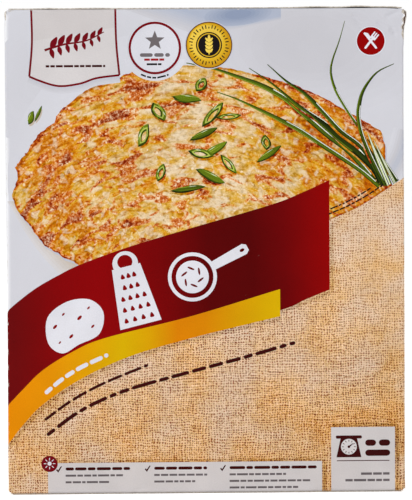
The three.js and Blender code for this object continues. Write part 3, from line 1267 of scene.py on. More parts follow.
def shred(place, length, turn, bend):
    """The middle line of one shred of potato, bent like a bow."""
    direction = math.radians(turn)
    along_s, along_t = math.cos(direction), math.sin(direction)
    path = []
    for k in range(4):
        run = (k / 3 - 0.5) * length
        side = bend * (1 - (2 * k / 3 - 1) ** 2)
        path.append((place[0] + run * along_s - side * along_t,
                     place[1] + run * along_t + side * along_s))
    return path


def browned_at(s, t):
    """How brown the cake is at a place: patches, and more at its left and upper edges."""
    patch = waver(s / 9.0, t / 6.5, 2.0) + 0.5 * waver(s / 4.0, t / 3.2, 7.0)
    edge = max(0, math.hypot((s + 3) / 78, (t - 130) / 49) - 0.74)
    return patch * 0.40 + edge * 0.9 + max(0, (-s - 20) / 60) * 0.15


def paint_shred(path, length, width, tone, source):
    """One shred with blunt ends, over its shadow if it has one, and with a light on its back."""
    def blunt(share):
        return width * (0.4 + 0.6 * math.sin(math.pi * (0.08 + 0.84 * share)))

    def thin(share):
        return width * 0.4 * math.sin(math.pi * (0.1 + 0.8 * share))

    if source.random() < 0.6:
        under = ribbon(moved(path, 0.22, -0.34), blunt, steps=4)
        paint("fried potato", under, max(0.0, tone - 0.17))
    paint("fried potato", ribbon(path, blunt, steps=4), tone)
    if source.random() < 0.35:
        light = ribbon(moved(path, -0.1, 0.16), thin, length * 0.12, length * 0.85, steps=3)
        paint("fried potato", light, min(1.0, tone + 0.16))


def paint_shreds(outline, source):
    """The shreds on the cake from its upper edge down, more or less along its rings."""
    places = []
    while len(places) < SHREDS:
        place = (source.uniform(-79, 76), source.uniform(86, 178))
        farther = (place[0] + math.copysign(2, place[0]), place[1] + 2)
        if inside(outline, place) and inside(outline, farther):
            places.append(place)
    places.sort(key=lambda place: source.uniform(-20, 20) - place[1])
    for s, t in places:
        ring_turn = math.atan2((t - RING_MIDDLE[1]) / RING_SQUASH, s - RING_MIDDLE[0])
        lean = math.degrees(math.atan2(RING_SQUASH * math.cos(ring_turn), -math.sin(ring_turn)))
        turn = lean + source.uniform(-38, 38)
        length = source.uniform(3.0, 7.5)
        width = source.uniform(1.4, 3.0)
        path = shred((s, t), length, turn, source.uniform(-0.7, 0.7))
        if all(inside(outline, point) for point in path):
            tone = 0.52 - browned_at(s, t) * 0.45 + source.uniform(-0.13, 0.13)
            paint_shred(path, length, width, min(0.85, max(0.08, tone)), source)


def paint_crumbs(outline, source):
    """Small browned crumbs and glints of fat."""
    for _ in range(CRUMBS):
        place = (source.uniform(-78, 74), source.uniform(92, 178))
        if not inside(outline, place):
            continue
        if browned_at(*place) > 0.14:
            size = source.uniform(0.35, 1.0)
            tone = source.choice((0.02, 0.08, 0.14, 0.96))
        else:
            size = source.uniform(0.25, 0.7)
            tone = source.choice((0.22, 0.95, 1.0, 1.0))
        speck = oval(place, size, size * source.uniform(0.4, 0.8), source.uniform(0, 180), 7)
        paint("fried potato", speck, tone)


def paint_rosti():
    """The fried potato cake: a ragged golden field of shreds with a dark rim, browned in patches."""
    source = random.Random(11)
    ragged = []
    for _, s, t in stepped(ROSTI_EDGE, 1.0):
        out = 1 + 0.009 * waver(s * 0.28, t * 0.28, 4.0) + 0.006 * waver(s * 0.8, t * 0.8, 8.0)
        ragged.append((s * out, 128 + (t - 128) * out))
    within = []
    for s, t in ragged:
        share = 1 - 0.011 * (1 + waver(s * 0.12, t * 0.12, 2.0))
        within.append((30 + (s - 30) * share, 92 + (t - 92) * share))
    paint("white board", moved(ragged, 0.9, -1.6), 0.34)
    paint("fried potato", moved(ragged, 0.3, -0.5), 0.10)
    paint("fried potato", ragged, 0.12)
    paint("fried potato", within, 0.46)
    paint_shreds(ragged, source)
    paint_crumbs(ragged, source)


def paint_banner():
    """The dark red banner and the gold band along its foot, with their shadows on the cloth."""
    soft_line("hessian", moved(GOLD_FOOT, 0.6, -0.7), 2.6, [0.42, 0.36, 0.3, 0.24], steps=40)
    soft_line("hessian", [(30, 75), (41.5, 79.4), (52.4, 83.8), (52.2, 112)], 2.0, [0.42, 0.34, 0.26])
    paint("banner red", BANNER_TOP + BANNER_FOOT[::-1])
    paint("gold band", GOLD_TOP + GOLD_FOOT[::-1])


def words(ink, path, height, seed, start=0.0, end=None, offset=0.0, gap=0.45, shortest=1.6,
          longest=5.5, tone=0.5):
    """A line of plain bars along a path, where a text would be. gap, shortest and longest are in
    heights of the bars."""
    source = random.Random(seed)
    place = start
    end = length_of(path) if end is None else end
    while place < end - 0.9 * height:
        length = min(height * source.uniform(shortest, longest), end - place)
        if height < SMALL_PRINT:
            shape = ribbon(path, height, place, place + length, offset, steps=1)
        else:
            shape = rounded_bar(path, height, place, length, offset, max(2, int(length / 2)))
        paint(ink, shape, tone)
        place += length + gap * height


def closed_curve(points, steps=6):
    """A smooth closed outline through the given points."""
    line = curve([points[-1], *points, points[0], points[1]], steps)
    return line[steps:-steps - 1]


POTATO = closed_curve([(-11, -2), (-7, 6.5), (2, 8.6), (10, 5.6), (12.4, -1), (7.5, -7.4), (-1, -7.6),
                       (-8, -7.8)])
POTATO_EYES = [(-6, 2.2, 1.0), (-1.2, 5.0, 0.7), (3.6, 1.2, 1.1), (8.2, 3.0, 0.7), (-2.2, -3.6, 1.0),
               (6.6, -3.8, 0.8), (-7, -3.8, 0.6)]  # place and radius
GRATER = [(-7.6, -12), (7.6, -12), (5.2, 9.5), (-5.2, 9.5)]
PAN_HANDLE = [(8.6, -1.7), (23, -2.2), (24.4, -1.2), (24.4, 1.2), (23, 2.2), (8.6, 1.7)]
LEAF = closed_curve([(0, 0), (1.1, 1.5), (1.2, 3.2), (0, 5.6), (-1.2, 3.2), (-1.1, 1.5)], 3)
STAR = [
    (math.sin(k * math.pi / 5) * reach, math.cos(k * math.pi / 5) * reach)
    for k, reach in enumerate((1, 0.42) * 5)
]
TICK = [(-1.0, 0.1), (-0.6, 0.45), (-0.25, 0.0), (0.8, 1.5), (1.15, 1.3), (-0.2, -0.85)]
HANDLE = bar((-0.45, -4.0), 0.9, 5.4)
FORK = [HANDLE, bar((-1.25, 1.0), 2.5, 1.2)] + [bar((x, 1.4), 0.6, 2.8) for x in (-1.25, -0.3, 0.65)]
KNIFE = [HANDLE, [(-0.45, 0.6), (0.9, 0.9), (1.1, 3.2), (0.2, 4.4), (-0.45, 4.4)]]


def paint_potato(at, turn, size, holes="banner red"):
    """A whole potato with its eyes."""
    paint("white ink", placed(POTATO, at, turn, size), 0.8)
    for x, y, eye in POTATO_EYES:
        paint(holes, placed(oval((x, y), eye, eye * 0.5, 20, 14), at, turn, size))


def paint_figure(at, turn, size, shapes):
    """A white figure with holes, from its shapes in painting order and whether each is a hole."""
    for shape, hole in shapes:
        ink, tone = ("banner red", 0.5) if hole else ("white ink", 0.8)
        paint(ink, placed(shape, at, turn, size), tone)


def paint_grater(at, turn, size):
    """A kitchen grater: a tapered body with a bow for a handle and rows of holes."""
    shapes = [(oval((0, 10.6), 4.6, 4.4), False), (oval((0, 11.2), 2.7, 2.5), True), (GRATER, False)]
    for row, count in enumerate((4, 4, 4, 3, 3)):
        y = -9.4 + row * 3.9
        for column in range(count):
            x = (column - (count - 1) / 2) * 3.3 * (1 - 0.02 * (y + 12))
            drop = [(x - 0.8, y - 0.5), (x, y + 1.0), (x + 0.8, y - 0.5), (x, y - 0.9)]
            shapes.append((closed_curve(drop, 3), True))
    paint_figure(at, turn, size, shapes)


def paint_pan(at, turn, size):
    """A frying pan from above, with a potato cake in it."""
    shapes = [
        (PAN_HANDLE, False), (oval((22, 0), 1.0, 0.6), True), (oval((0, 0), 9.6), False),
        (oval((0, 0), 8.2), True), (oval((0, 0), 6.4), False),
    ]
    for k in range(6):
        a = math.radians(60 * k + 12)
        cut = oval((3.4 * math.cos(a), 3.4 * math.sin(a)), 1.5, 0.42, 60 * k + 70, 12)
        shapes.append((cut, True))
    paint_figure(at, turn, size, shapes)


def paint_heading():
    """Three white kitchen figures, where a name would be."""
    paint_potato((-55.5, 70.6), 26, 1.12)
    paint_grater((-30.4, 84.0), 14, 1.16)
    paint_pan((-5.6, 90.2), 28, 1.06)


def paint_lines():
    """The rows of blocks on the gold band and on the cloth below it."""
    on_gold = curve([(-67, 42.2), (-60, 48.0), (-52, 53.0), (-41.6, 57.8)])
    words("white ink", on_gold, 1.7, 3, end=31, tone=0.9, longest=4.5)
    first = curve([(-67.2, 31.2), (-56, 39.2), (-42, 46.6), (-22.2, 54.6)])
    words("brown ink", first, 1.15, 5, end=50.5, gap=0.9, longest=7.0)
    second = curve([(-66.4, 24.8), (-52, 35.1), (-34, 43.1), (-10, 49.9), (14, 56.2), (36.8, 62.6)])
    words("brown ink", second, 1.5, 8, end=111, gap=0.8, longest=7.0)
    small = moved(HESSIAN_EDGE, -1.2, 2.0)
    words("black ink", small, 0.6, 21, start=14.5, end=41, gap=0.8, tone=0.0)
    words("black ink", small, 0.6, 22, start=16, end=36, offset=1.7, gap=0.8, tone=0.0)


BLADES = [
    # Points along each chive blade from its tip, its greatest width and the tone of its middle.
    ([(-7.5, 178.7), (3.6, 176.3), (13, 173.1), (22.5, 169.6), (30.1, 165.7), (34.8, 162.5),
      (42.5, 155.7), (51.3, 148.0), (59.0, 142.2), (65.4, 135.1), (70, 129.5)], 2.3, 0.31),
    ([(18.4, 176.4), (27.2, 170.4), (34.2, 164.5), (39.5, 160.1), (48.3, 154.5), (57.2, 147.5),
      (67.2, 137.5), (71.5, 131.5)], 1.6, 0.23),
    ([(40.7, 159.8), (47, 154.6), (57.2, 146.3), (64, 140.8), (70.2, 134.5), (73, 129)], 3.4, 0.11),
    ([(26, 177.9), (33.6, 171), (41.3, 165.7), (48.3, 158.7), (56, 150.4), (63, 145.1),
      (66.6, 141), (71, 133)], 1.9, 0.19),
    ([(5.1, 166.6), (13, 163.7), (22.5, 159.2), (30.7, 155.1), (39.5, 150.4), (48.3, 144.5),
      (57.2, 138.7), (64.8, 133.4), (72, 127.2)], 2.0, 0.35),
    ([(58.1, 195.6), (55.6, 187), (52.9, 179.5), (52.2, 174), (54.2, 166.9), (58.9, 158.7),
      (62.5, 153.4), (65.4, 148.1), (68.3, 141), (71.9, 133.4), (73.8, 128)], 1.2, 0.31),
    ([(78.4, 177.8), (71.9, 174.8), (67.8, 170.4), (65.1, 165.7), (63.9, 161), (63.5, 156.3),
      (64.8, 149.2), (67.7, 141.6), (71.3, 134), (74.6, 127.4)], 1.7, 0.23),
    ([(67.2, 146.9), (71.9, 140.4), (76, 134.5), (79.6, 129.2)], 1.8, 0.13),
]
BUNDLE_SHADE = [(38, 155.5), (48, 147.5), (58, 140), (68, 131)]
BUNDLE_MIDDLE = [(67.2, 144.6), (70.2, 140), (72.8, 134.7), (75, 129), (73, 126.8), (70.2, 132.4),
                 (67.2, 136.5), (63.8, 140)]
PALE_LEAVES = [
    # Points along each pale leaf in the bundle from its tip, and its greatest width.
    ([(67.4, 149.2), (70.0, 142.4), (73.2, 134.8), (76.6, 126.6)], 1.7),
    ([(69.8, 146.6), (73.0, 139.6), (76.0, 133.4), (78.6, 128.4)], 0.9),
]
SLICES = [
    # Place, length, width, turn and whether the cut end shows, for each slice on the cake.
    (-71.8, 156.4, 4.2, 2.4, 60, False), (-1.5, 169.6, 4.6, 4.0, 40, True),
    (-7.5, 163.9, 8.6, 3.2, -14, False), (3.2, 157.2, 9.4, 3.4, 44, True),
    (9.8, 156.4, 7.4, 2.2, 2, True), (-19.2, 158.6, 6.2, 4.4, -68, True),
    (-25.4, 148.8, 7.2, 4.0, 58, True), (-0.6, 149.2, 9.0, 2.6, 20, False),
    (3.4, 142.4, 9.6, 2.8, 28, False), (-1.8, 141.2, 7.6, 3.4, -18, True),
    (25.2, 145.6, 4.4, 3.6, 84, True), (26.4, 140.8, 8.8, 2.4, 30, False),
    (9.6, 136.8, 7.2, 2.8, -56, True), (-18.4, 133.4, 5.4, 3.2, 62, True),
    (2.0, 131.8, 9.4, 3.0, -30, False), (-7.2, 126.6, 10.4, 2.4, 3, False),
    (-68.8, 158.0, 5.2, 1.2, 62, False),
]
SLICES_LONGER, SLICES_WIDER = 1.28, 1.2  # than those numbers say
CAKE_TOP = 179.0  # a blade whose tip lies higher throws no shadow on the cake
PLATE_END = -60.0  # slices at the left of this lie on the plate


def paint_blade(path, width, tone):
    """One chive blade: its shadow, a dark edge, three greens, and a pale and a dark vein."""
    path = curve(path, 5)
    total = length_of(path)

    def taper(share):
        return width * min(1.0, 0.12 + 2.2 * share) * (1 - 0.25 * max(0, share - 0.7))

    if path[0][1] < CAKE_TOP:
        shadow = ribbon(moved(path, -0.4, -1.2), lambda u: 0.7 * taper(u), 0.3 * total, 0.8 * total,
                        steps=26)
        paint("fried potato", shadow, 0.2)
    paint("chive", ribbon(path, taper, steps=30), max(0.0, tone - 0.26))
    for k, lift in enumerate((-0.08, 0.0, 0.08)):
        green = ribbon(path, lambda u, k=k: taper(u) * (0.76 - 0.24 * k),
                       offset=-0.05 * width * k, steps=30)
        paint("chive", green, max(0.0, tone + lift))
    pale = ribbon(path, lambda u: 0.17 * taper(0.4 + 0.6 * u), 0.40 * total, 0.97 * total,
                  lambda u: 0.34 * taper(0.4 + 0.6 * u), 26)
    paint("chive", pale, 1.0)
    dark = ribbon(path, lambda u: 0.14 * taper(0.6 * u), 0.0, 0.6 * total,
                  lambda u: -0.36 * taper(0.6 * u), 26)
    paint("chive", dark, tone + 0.34)


def paint_pale_leaf(path, width):
    """One pale leaf of the bundle: wider and dark below, white along its middle, with one vein."""
    for share, tone in ((1.5, 0.14), (1.0, 0.84), (0.6, 1.0)):
        wide = share * width
        paint("chive", ribbon(path, lambda u, wide=wide: wide * min(1.0, 0.1 + 1.6 * u)), tone)
    paint("chive", ribbon(path, lambda u: 0.24 * width * u, start=4.0), 0.1)


def paint_chives():
    """Long chive blades across the cake and cut slices strewn on it."""
    soft_line("fried potato", BUNDLE_SHADE, 6.0, [0.36, 0.26, 0.14])
    lowest_blade = BLADES[4][0]
    soft_line("fried potato", moved(lowest_blade[3:], -1.6, -2.2), 4.6, [0.36, 0.26, 0.16])
    paint("chive", BUNDLE_MIDDLE, 0.12)
    for path, width, tone in BLADES:
        paint_blade(path, width, tone)
    for path, width in PALE_LEAVES:
        paint_pale_leaf(path, width)
    for k, (s, t, length, width, turn, cut) in enumerate(SLICES):
        paint_slice((s, t), SLICES_LONGER * length, SLICES_WIDER * width, turn, cut, k)


def paint_slice(at, length, width, turn, cut, seed):
    """A slice of spring onion: a slanted green strip, or a tube cut aslant that shows its inside."""
    source = random.Random(seed)
    skew = source.uniform(0.7, 1.4)

    def sliver(left, right, low, high):
        """A patch with two sharp ends, fullest before its middle."""
        shares = [k / 8 for k in range(9)]
        rise = [math.sin(math.pi * share**skew) ** 0.8 for share in shares]
        middle = (low + high) / 2
        upper = [(left + (right - left) * u, middle + (high - middle) * r) for u, r in zip(shares, rise)]
        lower = [(left + (right - left) * u, middle + (low - middle) * r)
                 for u, r in zip(shares[1:-1], rise[::-1][1:-1])]
        points = [(x * length, (y + 0.24 * x) * width) for x, y in upper + lower[::-1]]
        return placed(points, at, turn)

    beneath = "plate shadow" if at[0] < PLATE_END else "fried potato"
    paint(beneath, moved(sliver(-0.5, 0.5, -0.5, 0.46), 0.3, -1.0), 0.0)
    tone = source.uniform(0.24, 0.42)
    paint("chive", sliver(-0.56, 0.56, -0.5, 0.5), tone - 0.20)
    paint("chive", sliver(-0.50, 0.55, -0.30, 0.48), tone + 0.08)
    if cut:
        paint("chive", sliver(-0.40, 0.42, -0.36, 0.36), 0.80)
        paint("chive", sliver(-0.32, 0.33, -0.26, 0.26), 0.26)
        paint("fried potato", sliver(-0.28, 0.24, -0.24, 0.12))
    for k in ((0, 3) if cut else range(4)):
        low = -0.36 + 0.2 * k
        left = source.uniform(-0.5, -0.3)
        right = source.uniform(0.2, 0.5)
        strip = sliver(left, right, low, low + source.uniform(0.05, 0.14))
        paint("chive", strip, tone + source.uniform(-0.2, 0.12) + 0.10 * k)
    glint = source.uniform(-0.3, 0.1)
    paint("chive", sliver(glint, glint + 0.26, 0.28, 0.35), 0.94)


def paint_label():
    """The pale hanging label at the top left: a red outline, a sprig and rows of bars."""
    edge = curve([(-71.4, 206), (-71.4, 201), (-71.2, 187), (-72.4, 173.4)])
    foot = curve([(-72.4, 173.4), (-68.3, 171.7), (-62.9, 169.9), (-58.3, 169.4), (-51, 170.5),
                  (-44.7, 172.6), (-35.2, 173.8)])
    right = curve([(-35.2, 173.8), (-36.4, 187), (-36.7, 201), (-36.6, 206)])
    shape = edge + foot[1:-1] + right
    soft_line("white board", foot, 5.0, steps_between(0.47, 0.38, 4), offset=-0.6)
    paint("label paper", shape, 0.52)
    paint("label paper", [(-71.0, 206), (-71.0, 188), (-36.9, 193.5), (-36.7, 206)], 0.42)
    for line in (edge, foot, right):
        paint("dark red ink", ribbon(line, 0.85, steps=24))
    stem = curve([(-66, 184.2), (-58, 186.6), (-49, 188.0), (-41.5, 191.6)])
    paint("dark red ink", ribbon(stem, lambda u: 1.0 - 0.6 * u, steps=16))
    for k in range(7):
        place, _ = along(stem, 2.6 + 3.4 * k)
        size = 0.98 - 0.05 * k
        paint("dark red ink", placed(LEAF, place, -30, size))
        paint("dark red ink", placed(LEAF, place, 196, size * 0.8))
    words("brown ink", level(-65.6, -41.0, 177.6), 0.9, 31, gap=0.5)


def paint_white_badge():
    """A white badge with a red ring, a star and rows of bars, and with a tongue below it."""
    middle = (-20.5, 184.9)
    paint("white ink", arc(middle, 13.6, 200, 340), 0.4)
    words("black ink", arc(middle, 12.3, 242, 298), 0.7, 41, end=11.8, gap=0.7)
    paint("white board", oval(middle, 11.4), 0.42)
    paint("white ink", oval(middle, 11.2), 0.45)
    paint("dark red ink", oval(middle, 10.9), 0.9)
    paint("white ink", oval(middle, 9.9), 0.45)
    paint("grey ink", placed(STAR, (middle[0], middle[1] + 3.0), 0, 4.2), 0.15)
    rows = ((6.2, 1.5, "grey ink"), (4.4, 0.9, "red ink"), (3.4, 0.8, "black ink"))
    for row, (half, height, ink) in enumerate(rows):
        line = level(middle[0] - half, middle[0] + half, middle[1] - 2.9 - row * 1.9)
        words(ink, line, height, 50 + row, gap=0.4, tone=0.2)


def paint_gold_badge():
    """A gold badge with a ring of marks and an ear of grain in its dark middle."""
    s, t = middle = (1.9, 186.0)
    paint("white board", oval(middle, 10.0), 0.40)
    paint("brown ink", oval(middle, 9.6), 0.6)
    for k, tone in enumerate(steps_between(0.0, 0.75, 7)):
        paint("medal gold", oval((s - 0.22 * k, t + 0.26 * k), 9.25 - 0.45 * k), tone)
    for k in range(36):
        a = math.radians(10 * k)
        spot = (s + 7.3 * math.cos(a), t + 7.3 * math.sin(a))
        paint("black ink", placed(bar((-0.5, -0.22), 1.5 if k % 3 else 0.8, 0.44), spot, 10 * k))
    paint("black ink", oval(middle, 5.4))
    paint("medal gold", oval(middle, 4.9))
    paint("black ink", oval(middle, 4.5))
    for turn in (-42, 42):
        for k in range(4):
            paint("medal gold", placed(LEAF, (s, t - 3.2 + 1.5 * k), turn, 0.42), 0.9)
    paint("medal gold", placed(LEAF, (s, t + 2.0), 0, 0.42), 0.9)
    paint("medal gold", box_outline((s - 0.22, t - 3.9), (s + 0.22, t + 2.4)), 0.9)


def paint_cutlery_disc():
    """A small red disc with a fork and a knife."""
    middle = (68.8, 187.3)
    paint("white ink", oval(middle, 6.15))
    paint("banner red", oval(middle, 5.75))
    for figure, turn in ((FORK, -38), (KNIFE, 38)):
        for shape in figure:
            paint("white ink", placed(shape, middle, turn), 0.8)


INFO_COLUMNS = [
    # Left end, right end of the head, right end and number of the rows, for each column.
    (-62, -32, -32, 2), (-25.2, 0, 8, 2), (6.1, 45.8, 45.8, 3),
]


def paint_info_strip():
    """The pale strip at the foot with three ticked columns of bars, and its small red disc."""
    soft_line("hessian", [(-65, 13.6), (48.6, 13.6), (48.7, -3)], 2.2, [0.40, 0.32, 0.24], steps=60)
    paint("label paper", box_outline((-66.1, FOOT), (47.8, 13.2)))
    for column, (left, head, right, rows) in enumerate(INFO_COLUMNS):
        paint("brown ink", placed(TICK, (left + 0.4, 10.2), 0, 1.15))
        words("brown ink", level(left + 3.2, head, 10.7), 1.25, 60 + column, gap=0.35)
        for row in range(rows):
            line = level(left + 3.2, right - 3 - 5 * ((row + column) % 3), 7.9 - row * 2.75)
            words("grey ink", line, 0.85, 70 + 3 * column + row, gap=0.6, tone=0.1)
    paint("dark red ink", oval((-65.4, 12.9), 3.4))
    for k in range(8):
        paint("white ink", placed(bar((-0.16, 1.3), 0.32, 1.1), (-65.4, 13.0), 45 * k), 0.6)
    paint("white ink", oval((-65.4, 13.0), 0.85), 0.6)


def paint_weight_panel():
    """The pale panel at the right with a kitchen scale, a rule and rows of bars."""
    soft_line("hessian", [(52, 27.9), (79.1, 27.9), (79.1, -3)], 2.2, [0.40, 0.32, 0.24], steps=30)
    paint("label paper", box_outline((51.6, FOOT), (78.2, 27.2)), 0.46)
    dial = (59.0, 19.0)
    paint("brown ink", [(53.8, 14.6), (64.2, 14.6), (62.4, 22.6), (55.6, 22.6)])
    paint("brown ink", bar((53.6, 22.4), 10.8, 1.3))
    paint("label paper", oval(dial, 3.3), 0.6)
    for k in range(12):
        paint("brown ink", placed(bar((-0.14, 2.1), 0.28, 0.8), dial, 30 * k))
    paint("brown ink", placed([(-0.4, -0.5), (0.4, -0.5), (0.12, 2.2), (-0.12, 2.2)], dial, -52))
    paint("brown ink", oval(dial, 0.55))
    words("brown ink", level(65.8, 76.2, 20.6), 2.6, 91, shortest=1.4)
    words("brown ink", level(65.8, 76.2, 16.4), 2.6, 95, shortest=1.4)
    paint("brown ink", box_outline((54, 13.0), (75.9, 13.35)))
    words("grey ink", level(64.0, 75.9, 7.7), 1.0, 95, gap=0.5, tone=0.1)
    words("grey ink", level(57.5, 75.9, 5.0), 1.0, 96, gap=0.5, tone=0.1)


def paint_knocks():
    """Bare board where the corners are knocked and the fold has cracked."""
    crack = [(81.0, 201.5), (80.4, 199.6), (81.5, 198.2), (80.8, 196.4), (81.8, 194.8), (81.0, 193.2),
             (81.9, 191.8), (81.5, 190.2), (82.4, 187.6), (83.2, 189.8), (82.9, 192.4), (83.6, 194.4),
             (83.0, 196.6), (83.9, 198.6), (83.2, 201.5)]
    paint(CUT, crack)
    paint("brown ink", [(81.4, 200.4), (81.9, 198.3), (81.4, 196.6), (82.2, 194.7), (81.6, 193.2),
                        (82.3, 191.6), (82.3, 189.4), (82.5, 191.8), (82.1, 193.3), (82.6, 194.9),
                        (82.0, 196.7), (82.4, 198.5), (81.8, 200.6)], 0.2)
    paint("white board", [(80.5, 199.5), (81.3, 198.3), (80.8, 197.0), (81.9, 198.3)], 1.0)
    paint("white board", [(81.0, 194.4), (81.7, 195.6), (81.2, 193.4), (81.6, 194.6)], 1.0)
    paint(CUT, [(-83.2, 199.4), (-82.6, 196.4), (-82.1, 196.9), (-82.0, 200.6), (-82.9, 201)])
    paint(CUT, [(-81.6, 200.8), (-78.4, 200.9), (-80.2, 200.3)])


# The foot of the print goes on round the sides and the back, and meets itself at the glued seam.
FOOT_BAND = curve([(-278, 20), (-250, 18), (-215, 19), (-180, 22), (-150, 28), (-128, 37), (-112, 47.4)])
FOOT_GOLD = curve([(-278, 8.5), (-240, 8), (-200, 8.2), (-160, 9.5), (-130, 12), (-112, 15.5)])
FOOT_CLOTH = curve([(-278, 3.5), (-240, 3), (-200, 3), (-160, 3.4), (-130, 4.2), (-112, 5.5)])
BACK_SWEEP = curve([(-278, 140), (-271, 136), (-262, 126), (-252, 108), (-243, 86), (-234, 62),
                    (-223, 42), (-208, 28), (-190, 21), (-170, 20)])


def text_block(left, right, top, rows, height, seed, ink="grey ink"):
    """Rows of bars under one another, the last one short, where a paragraph would be."""
    source = random.Random(seed)
    for row in range(rows):
        last = row == rows - 1
        share = source.uniform(0.4, 0.7) if last else source.uniform(0.9, 1.0)
        t = top - (row + 0.5) * LINE_SPACING * height
        line = level(left, left + (right - left) * share, t)
        words(ink, line, height, seed * 10 + row, gap=0.55, tone=0.1)


def paint_table(left, right, top, rows, row_height):
    """A plain table: a dark red head, thin rules and a short bar in each cell."""
    foot = top - (rows + 1) * row_height
    paint("white ink", box_outline((left, foot), (right, top)), 0.9)
    paint("dark red ink", box_outline((left, top - row_height), (right, top)))
    middle = left + 0.55 * (right - left)
    source = random.Random(17)
    for row in range(rows + 1):
        t = top - (row + 0.5) * row_height
        ink, tone = ("white ink", 0.8) if row == 0 else ("grey ink", 0.1)
        paint(ink, bar((left + 1.6, t - 0.5), source.uniform(9, 20), 1.0), tone)
        for column in range(2):
            start = middle + (column + 0.35) * (right - middle) / 2
            paint(ink, bar((start, t - 0.5), source.uniform(3.4, 6.5), 1.0), tone)
        if row:
            rule = top - row * row_height
            paint("grey ink", box_outline((left, rule - 0.1), (right, rule + 0.1)), 0.8)
    for s in (left, middle, (middle + right) / 2, right):
        paint("grey ink", box_outline((s - 0.1, foot), (s + 0.1, top - row_height)), 0.8)
    paint("grey ink", box_outline((left, foot - 0.1), (right, foot + 0.1)), 0.8)


def paint_step(left, foot, size, figure):
    """One framed step of the cooking pictures, with its row of bars below."""
    paint("dark red ink", bar((left - 0.5, foot - 0.5), size + 1, size + 1, ends=0.14))
    paint("white ink", bar((left, foot), size, size, ends=0.12), 0.9)
    figure((left + size / 2, foot + size / 2))
    text_block(left, left + size, foot - 1.6, 3, 1.0, int(-left))


def pan_on_flame(middle):
    """A pan from the side over three flames."""
    s, t = middle
    paint("dark red ink", [(s - 7, t + 2.4), (s + 5, t + 2.4), (s + 4.2, t - 1.2), (s - 6.2, t - 1.2)])
    paint("dark red ink", bar((s + 4.4, t + 1.2), 5.4, 1.1))
    paint("gold band", oval((s - 1, t + 2.8), 4.8, 1.1))
    for k in (-4.4, -1, 2.4):
        paint("red ink", placed(LEAF, (s + k, t - 5.4), 0, 0.55))


def oven(middle):
    """An oven with its window and four knobs."""
    s, t = middle
    paint("dark red ink", bar((s - 6.6, t - 6.2), 13.2, 12.4, ends=0.08))
    paint("white ink", bar((s - 5.2, t - 4.8), 10.4, 6.6, ends=0.12), 0.9)
    paint("gold band", bar((s - 3.6, t - 3.4), 7.2, 1.4))
    for k in range(4):
        paint("white ink", oval((s - 4.2 + 2.8 * k, t + 4.1), 0.8, sides=16), 0.9)


def clock(middle):
    """A clock face with its twelve marks and two hands."""
    paint("dark red ink", oval(middle, 6.4))
    paint("white ink", oval(middle, 5.4), 0.9)
    for k in range(12):
        paint("dark red ink", placed(bar((-0.18, 4.0), 0.36, 1.0), middle, 30 * k))
    for turn, reach in ((-30, 2.8), (40, 3.9)):
        paint("dark red ink", placed(bar((-0.35, -0.6), 0.7, reach + 0.6), middle, turn))


def plate_and_fork(middle):
    """A plate with a fork beside it."""
    s, t = middle
    paint("dark red ink", oval((s + 1.4, t), 5.6))
    paint("white ink", oval((s + 1.4, t), 4.8), 0.9)
    paint("gold band", oval((s + 1.4, t), 3.0, 2.4, 20))
    paint("dark red ink", bar((s - 7.0, t - 6.0), 0.9, 8.0))
    for k in range(3):
        paint("dark red ink", bar((s - 8.0 + 1.15 * k, t + 1.4), 0.6, 4.4))


def paint_round_foot():
    """The banner's foot, the gold stripe and the cloth on the side and back walls."""
    paint("hessian", BACK_SWEEP + [(-170, FOOT), (-278, FOOT)])
    soft_line("white board", BACK_SWEEP, 3.0, steps_between(0.47, 0.40, 3), offset=1.2, steps=40)
    paint("banner red", FOOT_BAND + [(-112, FOOT), (-278, FOOT)])
    paint("gold band", FOOT_GOLD + [(-112, FOOT), (-278, FOOT)])
    paint("hessian", FOOT_CLOTH + [(-112, FOOT), (-278, FOOT)])


def paint_small_cake(middle, radius_s, radius_t):
    """A whole fried cake, small, with a few slices of spring onion on it."""
    rim, top = [], []
    for s, t in oval(middle, radius_s, radius_t, -5, 90):
        ragged = 1 + 0.10 * waver(s * 0.30, t * 0.30, 4.0) + 0.03 * waver(s * 0.9, t * 0.9, 8.0)
        for line, share in ((rim, ragged), (top, 0.94 * ragged)):
            line.append((middle[0] + (s - middle[0]) * share, middle[1] + (t - middle[1]) * share))
    paint("plate shadow", moved(rim, 0.8, -1.3), 0.0)
    paint("fried potato", rim, 0.1)
    paint("fried potato", moved(top, -0.1, 0.3), 0.62)
    slices = ((-6, 2.4, 34, False), (-1, -3.2, -24, True), (4.6, 2.8, 66, True), (7.4, -1.2, 20, False))
    for k, (s, t, turn, cut) in enumerate(slices):
        paint_slice((middle[0] + s, middle[1] + t), 6.4 - 0.4 * k, 2.7, turn, cut, 40 + k)


